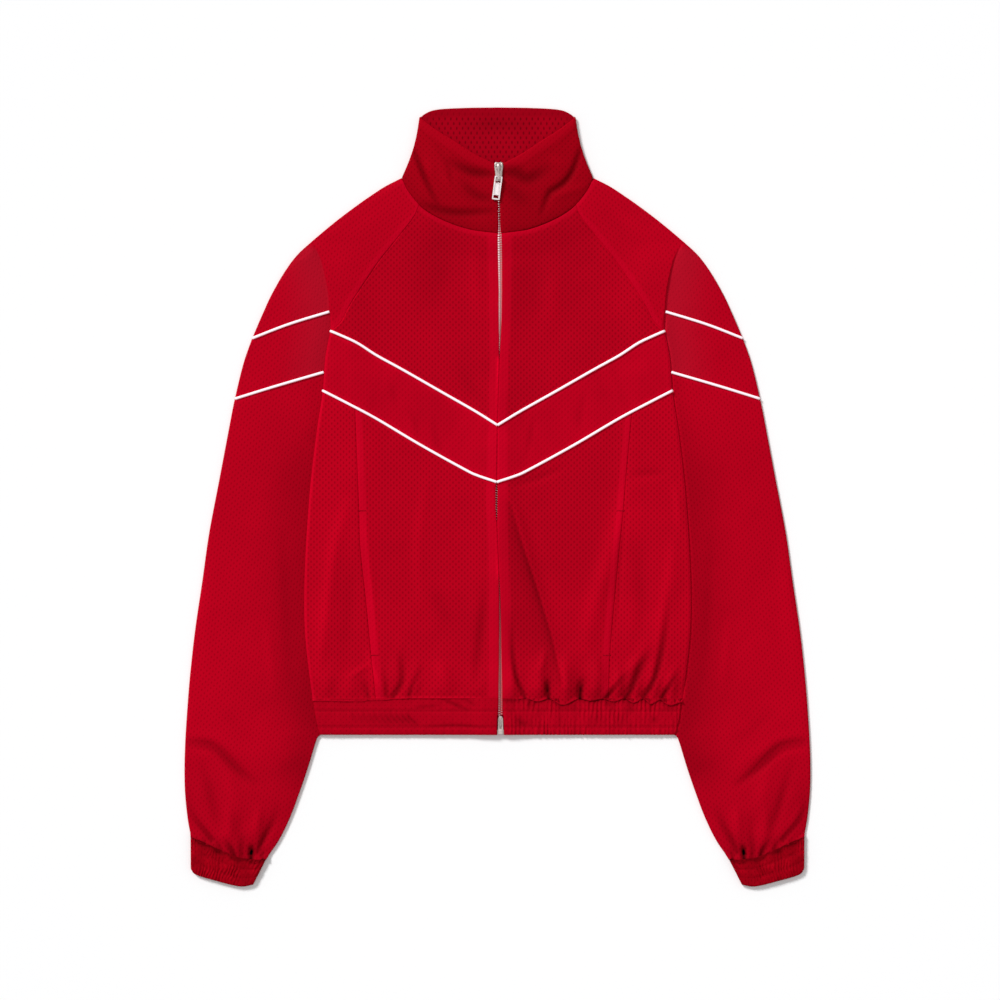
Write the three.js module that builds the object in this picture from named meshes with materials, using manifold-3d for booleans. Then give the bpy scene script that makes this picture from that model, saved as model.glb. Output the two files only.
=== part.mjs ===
// A zip-front track jacket with raglan sleeves, laid flat on its back and built from its cut pieces.
// Millimetres. +X is towards the wearer's left, +Y towards the collar, +Z up from the table.
// The pieces are drawn for one half, with x counted outwards from the centre front, and placed on both sides.
import * as THREE from 'three';
import Module from 'manifold-3d';
import { mergeVertices } from 'three/addons/utils/BufferGeometryUtils.js';

// Cloth
const CLOTH = 1.3; // mesh knit of the body and sleeves
const RIB = 2.0; // doubled cloth of the collar, cuffs and waistband
const LAY = 0.4; // air between cloths that lie on each other
const SEAM = 0.2; // how far each piece stays back from the line of a seam

// Levels of the upper faces
const TWO_LAYERS = 2 * CLOTH + LAY; // a sleeve, or the body's middle, pressed flat
const BACK_OVER_SLEEVE = TWO_LAYERS + LAY; // underside of the back where it lies over a sleeve
const FRONT_OVER_SLEEVE = BACK_OVER_SLEEVE + 2 * CLOTH + LAY; // front at the side, over back and sleeve
const EDGE_TOP = BACK_OVER_SLEEVE + CLOTH + LAY; // rim of the front, turned down round the back's edge
const TWO_RIBS = 2 * RIB + LAY; // waistband and cuffs pressed flat

// Overall places along Y
const HEM_Y = -261.5;
const WAIST_Y = -221.5; // seam of the waistband
const UNDERARM_Y = 182.5;
const COLLAR_TOP_Y = 428.2;

// Seams and edges of the wearer's left half, as points [x, y]
const NECK_FRONT = [[0, 289.5], [32, 294.5], [61, 305], [83, 318.5], [98, 336], [105.5, 351]];
const NECK_BACK = [[0, 353.5], [70, 353.5], [105.5, 351]];
const RAGLAN = [[86.5, 321.5], [92, 308], [112, 282.5], [133, 256], [161, 213.5], [172, 193], [183.5, UNDERARM_Y]];
const RAGLAN_BACK = [[70, 353.5], [85, 320], [112, 282.5], [145, 236], [183.5, UNDERARM_Y]];
const SHOULDER = [[105.5, 351], [125, 341.2], [150, 324.2], [178.5, 302.8], [206.3, 279.5], [222, 264.5],
  [235.7, 245.5], [250.8, 219], [263.6, 189], [270.1, 174.5]];
const SLEEVE_OUTER = [[270.1, 174.5], [279.6, 147], [289.1, 108], [295.8, 74], [306.2, 19], [317.4, -40], [325, -93.5],
  [332.5, -144], [337.5, -187.5], [340.5, -221], [343.5, -266], [344.5, -300], [343.8, -327], [341, -354],
  [337.5, -373]];
const PLEAT = [[203.1, 279.5], [193.7, 260.5], [186.5, 229], [184.3, 205.5]]; // fold over the top of the sleeve
const BODY_SIDE = [[184, UNDERARM_Y], [189.5, 153], [192.5, 115], [198.5, 75], [205.5, 17], [210, -41], [212.5, -98],
  [212, -146], [208, -187.5], [203.5, WAIST_Y]];
const BAND_SIDE = [[203.5, WAIST_Y], [198.5, -249], [195, HEM_Y]];
const SLEEVE_FREE_EDGE = [[196.5, -263], [199.5, -268], [209, -299], [219, -328], [228.5, -353], [240.5, -377.5],
  [254.5, -398]];
const PIPING_UPPER = [[0, 79], [26, 95], [63, 116], [105, 140], [133, 155.5], [154, 169], [172, 177.5],
  [183.7, UNDERARM_Y]];
const PIPING_LOWER = [[0, 16.5], [21, 23.5], [35, 30], [84, 57], [133, 86], [165, 103], [192.3, 117]];
const SLEEVE_PIPING_UPPER = [[184.6, 204], [229.5, 190], [270.1, 174.5]];
const SLEEVE_PIPING_LOWER = [[190.8, 137.5], [243.5, 122], [289.1, 108]];
const CUFF_SEAM = [[254.5, -398], [269, -398.3], [284, -395.8], [306, -387], [321.5, -379.5], [337.5, -373]];
const CUFF_HEM = [[269, -426.5], [284, -COLLAR_TOP_Y], [311, -421.7], [331.5, -415.5], [337.3, -409.5]];
const COLLAR_FRONT_TOP = [[0, 364], [25, 376], [47, 390], [69, 404], [86, 417.5]];
const COLLAR_BACK_TOP = [[0, COLLAR_TOP_Y], [39, 427.6], [70, 425.2], [86, 417.5]];
const COLLAR_SIDE_BOW = 3.2; // how far the collar's side edge curves in

// Vertical seam of the lower front, which holds the pocket mouth; the two sides don't lie quite alike
const PANEL_SEAM_TOP_X = { left: 148, right: 156.8 };
const PANEL_SEAM = {
  left: [[141.5, 23], [138, -20], [134.5, -55], [129, -112], [124, -170], [122, WAIST_Y]],
  right: [[152.5, -9], [151, -55], [145, -112], [139.5, -170], [134, WAIST_Y]],
};

// The centre front: x of the zip (positive to the wearer's left) and half the gap between the two front edges
const ZIP = [
  // y, x, gap
  [HEM_Y, 3.3, 4.4], [-241, 3.3, 4.4], [-234, 3.3, 2.6], [WAIST_Y, 3.3, 2.2], [-170, 3.0, 1.5], [-113, 2.7, 0.6],
  [-60, 1.0, 0.3], [-30, -0.5, 0.3], [-12, -1, 0.7], [8, -1, 0.8], [18, -0.7, 0.3], [79, 0, 0.3], [160, 2, 0.4],
  [190, 3, 0.9], [230, 3.2, 1.3], [289, 2.4, 1.7], [325, 1.6, 1.9], [366, 1.2, 2.2],
];

// The side edge: how far the sleeve is tucked under it, how far the front is lifted there and the back with it
const SIDE = [
  // y, tuck, lift, rise
  [280, -0.4, 0, 0], [258, -0.4, 0.7, 0], [235, -0.4, 1, 0], [UNDERARM_Y, -0.4, 1, 0], [163, -0.4, 1, 1],
  [155, -0.4, 1, 1], [130, 12, 1, 1], [90, 20, 1, 1], [30, 27, 1, 1], [-40, 30, 1, 1], [-100, 28, 1, 1],
  [-150, 20, 1, 1], [-180, 9, 1, 1], [-198, -0.4, 1, 1], [-216, -0.4, 0.45, 0], [WAIST_Y, -0.4, 0.3, 0],
];

// Folds of the fronts: a line of points [x, y], how high the cloth stands along it and how wide it is
const FRONT_FOLDS = {
  left: [
    { line: [[7, 9], [21.5, -20], [36, -78], [53.5, -135], [69, -196]], height: 1.6, width: 9 },
    { line: [[22, 8], [35, -22], [50, -78], [66, -130]], height: -0.7, width: 12 },
    { line: [[16, 14], [45, 22], [71, 33]], height: -0.6, width: 10 },
    { line: [[148, 23], [180, 28.5]], height: -0.7, width: 12 },
    { line: [[122.7, -216], [141, -195], [162, -172]], height: 1.8, width: 10 },
    { line: [[183, -216], [192, -202], [199, -190]], height: 1.4, width: 9 },
    { line: [[180, -185], [190, -120], [200, -69]], height: 1.3, width: 14 },
  ],
  right: [
    { line: [[196, -199], [185, -84], [168, -12]], height: 1.6, width: 18 },
    { line: [[114, -212], [107, -158]], height: 1.2, width: 10 },
    { line: [[91, -212], [88, -178]], height: 0.9, width: 9 },
    { line: [[30, -205], [24, -120], [20, -60]], height: 0.8, width: 16 },
  ],
};

// The cloth bags over the gathered waistband: centre of each puff along x, how high, how wide, how tall it is
const PUFFS = {
  left: [
    // x, height, width, length
    [15, 3.2, 13, 46], [46, 5.2, 12, 58], [76, 5.6, 13, 62], [107, 5.2, 12, 60], [132, 4.2, 8, 48],
    [151, 4.4, 9, 50], [172, 4.0, 9, 46], [191, 3.2, 8, 40],
  ],
  right: [
    [22, 1.8, 18, 40], [60, 2.4, 18, 46], [98, 2.6, 14, 44], [128, 2.2, 13, 40], [160, 2.6, 14, 44],
    [188, 2.4, 11, 40],
  ],
};

// Folds of a sleeve above its cuff
const SLEEVE_FOLDS = [
  { line: [[338, -274], [316, -277], [300, -287], [284, -302], [266, -315]], height: -1.5, width: 7 },
  { line: [[338, -262], [310, -266], [290, -280], [262, -300]], height: 1.0, width: 12 },
  { line: [[318, -321], [311, -342], [304, -365]], height: -1.2, width: 9 },
  { line: [[336, -341], [328, -356], [320, -370]], height: 1.4, width: 8 },
  { line: [[281, -350], [282, -372]], height: -1.6, width: 10 },
  { line: [[270, -380], [271, -392]], height: -1.8, width: 8 },
  { line: [[262, -390], [254, -374], [247, -361]], height: -1.2, width: 7 },
  { line: [[295, -340], [294, -378]], height: 2.0, width: 9 },
  { line: [[262, -345], [264, -375]], height: 1.6, width: 9 },
];
const SLEEVE_CROWN = 1.8;
const SLEEVE_PUFF = 2.2; // the sleeve bags a little over the cuff

// Gathers, counted across each piece
const WAIST_GATHERS = { left: 30, right: 9 };
const WAIST_GATHER_HEIGHT = { left: 0.8, right: 0.45 };
const CUFF_GATHERS = 14;
const CUFF_GATHER_HEIGHT = 0.75;

// Piping: a cord in a folded strip
const PIPING_WIDTH = 3.0;
const PIPING_HEIGHT = 1.5;

// Zip
const CHAIN_HALF = 2.4;
const CHAIN_HIGH = 2.4;
const TAPE_HALF = 13;
const TAPE_THICK = 0.9;
const SLIDER = { x: 1.3, y: 356.6, plate: 1.2, web: 2.4, bridge: 2.6 };
const SLIDER_OUTLINE = [[-4.3, -10.6], [4.3, -10.6], [5, -2], [5, 7.5], [3.4, 10.7], [1.6, 8.4], [0, 7.6], [-1.6, 8.4],
  [-3.4, 10.7], [-5, 7.5], [-5, -2]];
// Side view of the slider's bridge, [y, z] from its centre and its plate, with the hollow that holds the tab's bar
const BRIDGE_OUTLINE = [[-10.4, -0.3], [-10.2, 2.6], [-8.8, 3.5], [-1, 3.5], [6, 1.6], [8.5, -0.3], [-2.4, -0.3],
  [-2.8, 2], [-3.4, 2.5], [-7.9, 2.5], [-8.6, 2], [-8.7, -0.3]];
const PIVOT = { y: -5.6, z: 1.25 };
const TAB = { width: 8.6, length: 26, thick: 1.1, bar: 1.1, rim: 1.7, windowEnd: 7.5, slotFrom: 21, slotTo: 24.2 };
const TAB_TURN = THREE.MathUtils.degToRad(-7.5); // the tab hangs askew
const TAB_DROP = THREE.MathUtils.degToRad(4); // and its lower end lies lower than its bar
const BOX = { x: 3.3, width: 8, top: -241, thick: 3, pin: 2.6 };

// Colours of the real pieces
const paint = (color, roughness, metalness = 0) => new THREE.MeshStandardMaterial({ color, roughness, metalness });
const MATERIAL = {
  knit: paint(0xb2021c, 0.85),
  rib: paint(0xa0021a, 0.85),
  piping: paint(0xf6dfe4, 0.5),
  tape: paint(0x8a0216, 0.9),
  metal: paint(0xcac2c0, 0.3, 1),
};

const jacket = new THREE.Group();
const SIDES = [['left', 1], ['right', -1]];

// Small helpers
const clamp = (t) => Math.min(1, Math.max(0, t));
const mix = (a, b, t) => a + (b - a) * t;
const ease = (from, to, t) => {
  const s = clamp((t - from) / (to - from));
  return s * s * (3 - 2 * s);
};
const bell = (t) => Math.exp(-t * t);

function curve(points) {
  const line = new THREE.CatmullRomCurve3(points.map(([x, y]) => new THREE.Vector3(x, y, 0)), false, 'catmullrom');
  return (t) => {
    const p = line.getPointAt(clamp(t));
    return [p.x, p.y];
  };
}

const part = (line, from, to) => (t) => line(mix(from, to, t));
const straight = ([x0, y0], [x1, y1]) => (t) => [mix(x0, x1, t), mix(y0, y1, t)];

// The share of a curve's length at which its coordinate (0 for x, 1 for y) reaches a value
function shareAt(line, axis, value) {
  let [low, high] = [0, 1];
  const rising = line(1)[axis] > line(0)[axis];
  for (let i = 0; i < 40; i += 1) {
    const middle = (low + high) / 2;
    if (line(middle)[axis] < value === rising) low = middle;
    else high = middle;
  }
  return low;
}

// A table's column as a function of its first column, with straight stretches between rows
function column(table, index) {
  const rows = [...table].sort((a, b) => a[0] - b[0]);
  return (at) => {
    const after = rows.findIndex((row) => row[0] >= at);
    if (after <= 0) return (after < 0 ? rows[rows.length - 1] : rows[0])[index];
    const [a, b] = [rows[after - 1], rows[after]];
    return mix(a[index], b[index], (at - a[0]) / (b[0] - a[0]));
  };
}

// x of an edge as a function of y
function edgeAt(...lines) {
  const rows = [];
  for (const line of lines) {
    for (let i = 0; i <= 60; i += 1) {
      const [x, y] = line(i / 60);
      rows.push([y, x]);
    }
  }
  return column(rows, 1);
}

// The surface between four edges that meet at its corners
function between({ bottom, top, inner, outer }) {
  const corners = [bottom(0), bottom(1), top(0), top(1)];
  return (u, v) => [0, 1].map((k) => {
    const across = mix(bottom(u)[k], top(u)[k], v) + mix(inner(v)[k], outer(v)[k], u);
    return across - mix(mix(corners[0][k], corners[1][k], u), mix(corners[2][k], corners[3][k], u), v);
  });
}

const NECK = curve(NECK_FRONT);
const NECK_B = curve(NECK_BACK);
const RAGLAN_F = curve(RAGLAN);
const RAGLAN_B = curve(RAGLAN_BACK);
const SHOULDER_LINE = curve(SHOULDER);
const OUTER_LINE = curve(SLEEVE_OUTER);
const PLEAT_LINE = curve(PLEAT);
const SIDE_LINE = curve(BODY_SIDE);
const BAND_SIDE_LINE = curve(BAND_SIDE);
const UPPER = curve(PIPING_UPPER);
const LOWER = curve(PIPING_LOWER);

const zipX = column(ZIP, 1);
const zipGap = column(ZIP, 2);
const tuck = column(SIDE, 1);
const lift = column(SIDE, 2);
const rise = column(SIDE, 3);
const foldEdge = edgeAt(PLEAT_LINE, SIDE_LINE, BAND_SIDE_LINE);
const sleeveOuter = edgeAt(SHOULDER_LINE, OUTER_LINE);
const sleeveFree = edgeAt(curve(SLEEVE_FREE_EDGE));
const sleeveInner = (y) => (y > HEM_Y - 1 ? foldEdge(y) - tuck(y) : sleeveFree(y));

// The cloth's heights

function foldHeight(folds, x, y) {
  let height = 0;
  for (const fold of folds) {
    let nearest = Infinity;
    let taper = 0;
    const last = fold.line.length - 1;
    for (let i = 0; i < last; i += 1) {
      const [[x0, y0], [x1, y1]] = [fold.line[i], fold.line[i + 1]];
      const t = clamp(((x - x0) * (x1 - x0) + (y - y0) * (y1 - y0)) / ((x1 - x0) ** 2 + (y1 - y0) ** 2));
      const away = Math.hypot(x - mix(x0, x1, t), y - mix(y0, y1, t));
      if (away < nearest) {
        nearest = away;
        taper = Math.sin(Math.PI * mix(0.12, 0.88, (i + t) / last));
      }
    }
    height += fold.height * taper * bell(nearest / (0.6 * fold.width));
  }
  return height;
}

function puffHeight(puffs, x, up) {
  let height = 0;
  for (const [centre, high, wide, long] of puffs) {
    const along = up < 12 ? ease(-4, 12, up) : 1 - ease(12, long, up);
    height += high * bell((x - centre) / (0.75 * wide)) * along;
  }
  return height;
}

// Height of the neck seam's mound: the stand collar lifts the cloth round the neck at the front
function neckMound(x, y) {
  const round = Math.hypot(x / 105.5, (y - 352) / 62.5);
  const front = clamp((352 - y) / 62.5 / Math.max(round, 0.01));
  return 3.2 * ease(1.5, 1, round) * front;
}

// Upper face of the body's front and of the sleeve caps, which lie on one level
function frontTop(side, x, y) {
  const inFromEdge = foldEdge(y) - x;
  const rest = TWO_LAYERS + 0.5 + 0.6 * clamp(inFromEdge / 120);
  const sides = (FRONT_OVER_SLEEVE - rest) * lift(y) * ease(58, 20, inFromEdge - Math.max(tuck(y), 0));
  const overZip = 2.5 * bell(x / 24);
  const folds = foldHeight(FRONT_FOLDS[side], x, y) * ease(0, 10, inFromEdge);
  const puffs = y < 0 ? puffHeight(PUFFS[side], x, y - WAIST_Y) * ease(0, 8, inFromEdge) : 0;
  return rest + sides + overZip + folds + puffs + neckMound(x, y);
}

// The front's side edge turns down round the back's edge
function sideRim(side, x, y) {
  const edgeTop = mix(TWO_LAYERS + 0.4, EDGE_TOP, y > 0 ? 1 : rise(y));
  return mix(edgeTop, frontTop(side, x, y), ease(0, 3, foldEdge(y) - x));
}

function sleeveTop(x, y) {
  const from = y > HEM_Y ? foldEdge(y) : sleeveFree(y);
  const share = clamp((x - from) / (sleeveOuter(y) - from));
  const crown = SLEEVE_CROWN * 4 * share * (1 - share);
  const overCuff = SLEEVE_PUFF * ease(-290, -350, y) * ease(-399, -380, y + 0.32 * (300 - x)) * Math.sin(Math.PI * share);
  const folds = y < -240 ? foldHeight(SLEEVE_FOLDS, x, y) * ease(0, 0.12, share) * ease(1, 0.92, share) : 0;
  return Math.max(TWO_LAYERS, TWO_LAYERS + crown + overCuff + folds);
}

// The cap of the sleeve lies on the body's level up to the pleat, then steps down to the sleeve's level
function capTop(side, x, y) {
  const past = x - foldEdge(Math.min(y, 279));
  const step = y > 279 ? 0 : ease(-1.2, 2, past);
  const outer = sleeveOuter(y) - x;
  const level = mix(frontTop(side, x, y), sleeveTop(x, y), step);
  return mix(TWO_LAYERS, level, ease(-1, y > 262 ? 16 : 4, outer));
}

// One gather after another along s, uneven in height
function gather(s) {
  return Math.cos(2 * Math.PI * s) * (0.75 + 0.25 * Math.sin(1.9 * Math.floor(s + 0.5) + 0.6));
}

// Solids

function add(name, material, geometry) {
  geometry.computeVertexNormals();
  const mesh = new THREE.Mesh(geometry, material);
  mesh.name = name;
  jacket.add(mesh);
  return mesh;
}

// A geometry from points and triangles; those of a mirrored piece come inside out and are turned
function closed(points, triangles) {
  const volume = triangles.reduce((sum, [a, b, c]) => {
    const [p, q, r] = [a, b, c].map((i) => new THREE.Vector3(...points[i]));
    return sum + p.dot(q.cross(r));
  }, 0);
  const geometry = new THREE.BufferGeometry();
  geometry.setAttribute('position', new THREE.Float32BufferAttribute(points.flat(), 3));
  geometry.setIndex(triangles.flatMap(([a, b, c]) => (volume < 0 ? [a, c, b] : [a, b, c])));
  return geometry;
}

// A closed solid from an upper and a lower grid of the same size
function shell(upper, lower) {
  const [rows, columns] = [upper.length, upper[0].length];
  const below = rows * columns;
  const triangles = [];
  const face = (a, b, c, d) => triangles.push([a, b, c], [a, c, d]);
  const at = (r, c) => r * columns + c;
  for (let r = 0; r < rows - 1; r += 1) {
    for (let c = 0; c < columns - 1; c += 1) {
      const [p, q, s, t] = [at(r, c), at(r, c + 1), at(r + 1, c + 1), at(r + 1, c)];
      face(p, q, s, t);
      face(below + p, below + t, below + s, below + q);
    }
  }
  const rim = [];
  for (let c = 0; c < columns; c += 1) rim.push(at(0, c));
  for (let r = 1; r < rows; r += 1) rim.push(at(r, columns - 1));
  for (let c = columns - 2; c >= 0; c -= 1) rim.push(at(rows - 1, c));
  for (let r = rows - 2; r > 0; r -= 1) rim.push(at(r, 0));
  rim.forEach((a, i) => {
    const b = rim[(i + 1) % rim.length];
    face(a, below + a, below + b, b);
  });
  return closed([...upper.flat(), ...lower.flat()], triangles);
}

// A closed solid from rings of the same number of points, one after another; caps fill its two ends
function sweep(rings, caps) {
  const sides = rings[0].length;
  const triangles = [];
  for (let i = 0; i < rings.length - 1; i += 1) {
    for (let k = 0; k < sides; k += 1) {
      const [a, b] = [i * sides + k, i * sides + ((k + 1) % sides)];
      triangles.push([a, a + sides, b], [b, a + sides, b + sides]);
    }
  }
  const last = (rings.length - 1) * sides;
  for (const [a, b, c] of caps) triangles.push([a, b, c], [last + a, last + c, last + b]);
  return closed(rings.flat(), triangles);
}

// A grid with its outermost points moved inwards, which leaves the gap at its seams
function pulledIn(grid) {
  const toward = (a, b) => {
    const share = SEAM / Math.hypot(b[0] - a[0], b[1] - a[1]);
    return [mix(a[0], b[0], share), mix(a[1], b[1], share)];
  };
  const rows = grid.map((row) => {
    const last = row.length - 1;
    return row.map((p, c) => (c === 0 ? toward(p, row[1]) : c === last ? toward(p, row[last - 1]) : p));
  });
  const last = rows.length - 1;
  const ends = [rows[0].map((p, c) => toward(p, rows[1][c])), rows[last].map((p, c) => toward(p, rows[last - 1][c]))];
  return [ends[0], ...rows.slice(1, last), ends[1]];
}

// A cloth wall: place gives the point for shares u and v, top the height of its upper face
function wall(name, material, sign, { us, vs, place, top, thick = CLOTH }) {
  const spots = pulledIn(vs.map((v) => us.map((u) => place(u, v))));
  const upper = spots.map((row, r) => row.map(([x, y], c) => [sign * x, y, top(x, y, us[c], vs[r])]));
  const lower = upper.map((row) => row.map(([x, y, z]) => [x, y, z - thick]));
  return add(name, material, shell(upper, lower));
}

// Even shares from 0 to 1, with one more close to the end where last is given
function shares(count, last = 0) {
  const list = Array.from({ length: count + 1 }, (_, i) => i / count);
  if (last) list.splice(count, 0, 1 - last);
  return list;
}

// Shares whose ends stay back from the piping, which is let into the seam on the sleeve's flat back
const withoutPiping = (list, from, to) => [from, ...list.slice(1, -1), to];

// Moves a front's inner edge out to the zip, on the side with that sign
const besideZip = (place, sign) => (u, v) => {
  const [x, y] = place(u, v);
  return [x + (sign * zipX(y) + zipGap(y)) * (1 - u), y];
};

const centreFront = (from, to) => straight([0, from], [0, to]);

// The body's front

const FRONT_COLUMNS = shares(11, 0.016);
const RAGLAN_ROWS = 12;

function front(side, sign) {
  const seamShare = shareAt(LOWER, 0, PANEL_SEAM_TOP_X[side]);
  const seam = curve([LOWER(seamShare), ...PANEL_SEAM[side]]);
  const top = (x, y) => sideRim(side, x, y);
  const raglan = (v) => RAGLAN_F(1 - v);
  const neckShare = shareAt(NECK, 0, RAGLAN[0][0]);
  wall(`yoke_${side}`, MATERIAL.knit, sign, {
    us: shares(11),
    vs: shares(RAGLAN_ROWS),
    place: besideZip(between({
      bottom: UPPER, top: part(NECK, 0, neckShare), inner: centreFront(79, 289.5), outer: raglan,
    }), sign),
    top,
  });
  const sideLow = shareAt(SIDE_LINE, 1, LOWER(1)[1]);
  wall(`chevron_${side}`, MATERIAL.knit, sign, {
    us: FRONT_COLUMNS,
    vs: shares(4),
    place: besideZip(between({
      bottom: LOWER, top: UPPER, inner: centreFront(16.5, 79), outer: part(SIDE_LINE, sideLow, 0),
    }), sign),
    top,
  });
  const rows = [0, 0.02, 0.05, 0.09, 0.15, 0.22, 0.31, 0.43, 0.56, 0.7, 0.85, 1];
  wall(`front_centre_${side}`, MATERIAL.knit, sign, {
    us: shares(15),
    vs: rows,
    place: besideZip(between({
      bottom: straight([0, WAIST_Y], seam(1)),
      top: part(LOWER, 0, seamShare),
      inner: centreFront(WAIST_Y, 16.5),
      outer: (v) => seam(1 - v),
    }), sign),
    top,
  });
  wall(`front_side_${side}`, MATERIAL.knit, sign, {
    us: shares(8, 0.045),
    vs: rows,
    place: between({
      bottom: straight(seam(1), [203.5, WAIST_Y]),
      top: part(LOWER, seamShare, 1),
      inner: (v) => seam(1 - v),
      outer: part(SIDE_LINE, 1, sideLow),
    }),
    top,
  });
  const gathers = WAIST_GATHERS[side];
  wall(`waistband_${side}`, MATERIAL.rib, sign, {
    us: shares(2 * gathers),
    vs: [0, 0.18, 0.62, 0.88, 1],
    place: besideZip(between({
      bottom: straight([0, HEM_Y], [195, HEM_Y]),
      top: straight([0, WAIST_Y], [203.5, WAIST_Y]),
      inner: centreFront(HEM_Y, WAIST_Y),
      outer: (v) => BAND_SIDE_LINE(1 - v),
    }), sign),
    top: (x, y, u, v) => TWO_RIBS + 0.9 + 2.4 * bell(x / 30)
      + WAIST_GATHER_HEIGHT[side] * gather(gathers * u) * ease(0, 0.06, u) * mix(0.7, 1, v) - 0.9 * ease(6, 0, 203 - x),
    thick: RIB,
  });
}

// The back: flat on the table, and lifted along its side edges where they lie over the sleeves

const BACK_ROWS = [WAIST_Y + SEAM, -216, -198, -180, -150, -100, -40, 30, 90, 130, 155, 163];

function back() {
  const raglanAt = edgeAt(RAGLAN_B);
  const raglanRows = shares(RAGLAN_ROWS).map((v) => RAGLAN_B(1 - v)[1]);
  const half = (y) => (y > UNDERARM_Y ? raglanAt(y) - SEAM : foldEdge(y) - mix(1.6, 3.4, rise(y)));
  const offsets = (y) => {
    const outer = half(y);
    const foot = y > UNDERARM_Y ? outer - 20 : Math.min(sleeveInner(y), outer) - 16;
    const step = y > UNDERARM_Y ? outer - 10 : Math.min(sleeveInner(y) - 3, outer - 3);
    return [[0, 0], [foot / 3, 0], [(2 * foot) / 3, 0], [foot, 0], [step - 7, 0], [step, 1], [outer, 1]];
  };
  const row = (y) => {
    const right = offsets(y).map(([x, up]) => [x, y, up * rise(y) * BACK_OVER_SLEEVE]);
    return [...right.slice(1).reverse().map(([x, ...rest]) => [-x, ...rest]), ...right];
  };
  raglanRows[RAGLAN_ROWS] -= 2 * SEAM;
  const lower = [...BACK_ROWS, ...raglanRows].map(row);
  const upper = lower.map((points) => points.map(([x, y, z]) => [x, y, z + CLOTH]));
  add('back', MATERIAL.knit, shell(upper, lower));
  wall('waistband_back', MATERIAL.rib, 1, {
    us: [0, 0.25, 0.5, 0.75, 1],
    vs: [0, 0.3, 0.65, 1],
    place: (u, v) => {
      const y = mix(HEM_Y, WAIST_Y, v);
      return [mix(-1, 1, u) * (foldEdge(y) - 0.6), y];
    },
    top: () => RIB,
    thick: RIB,
  });
}

// The sleeves

const ACROSS = [0, 0.08, 0.26, 0.5, 0.74, 0.93, 1]; // from the body's edge to the sleeve's outer edge

// Rows along the sleeve between two shares of its outer edge; across goes inner edge, body's edge, outer edge
function sleevePiece(outer, edge, inner) {
  return (u, v) => {
    const [o, e, i] = [outer(v), edge(v), inner(v)];
    return u < 0 ? [0, 1].map((k) => mix(e[k], i[k], -u)) : [0, 1].map((k) => mix(e[k], o[k], u));
  };
}

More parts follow.
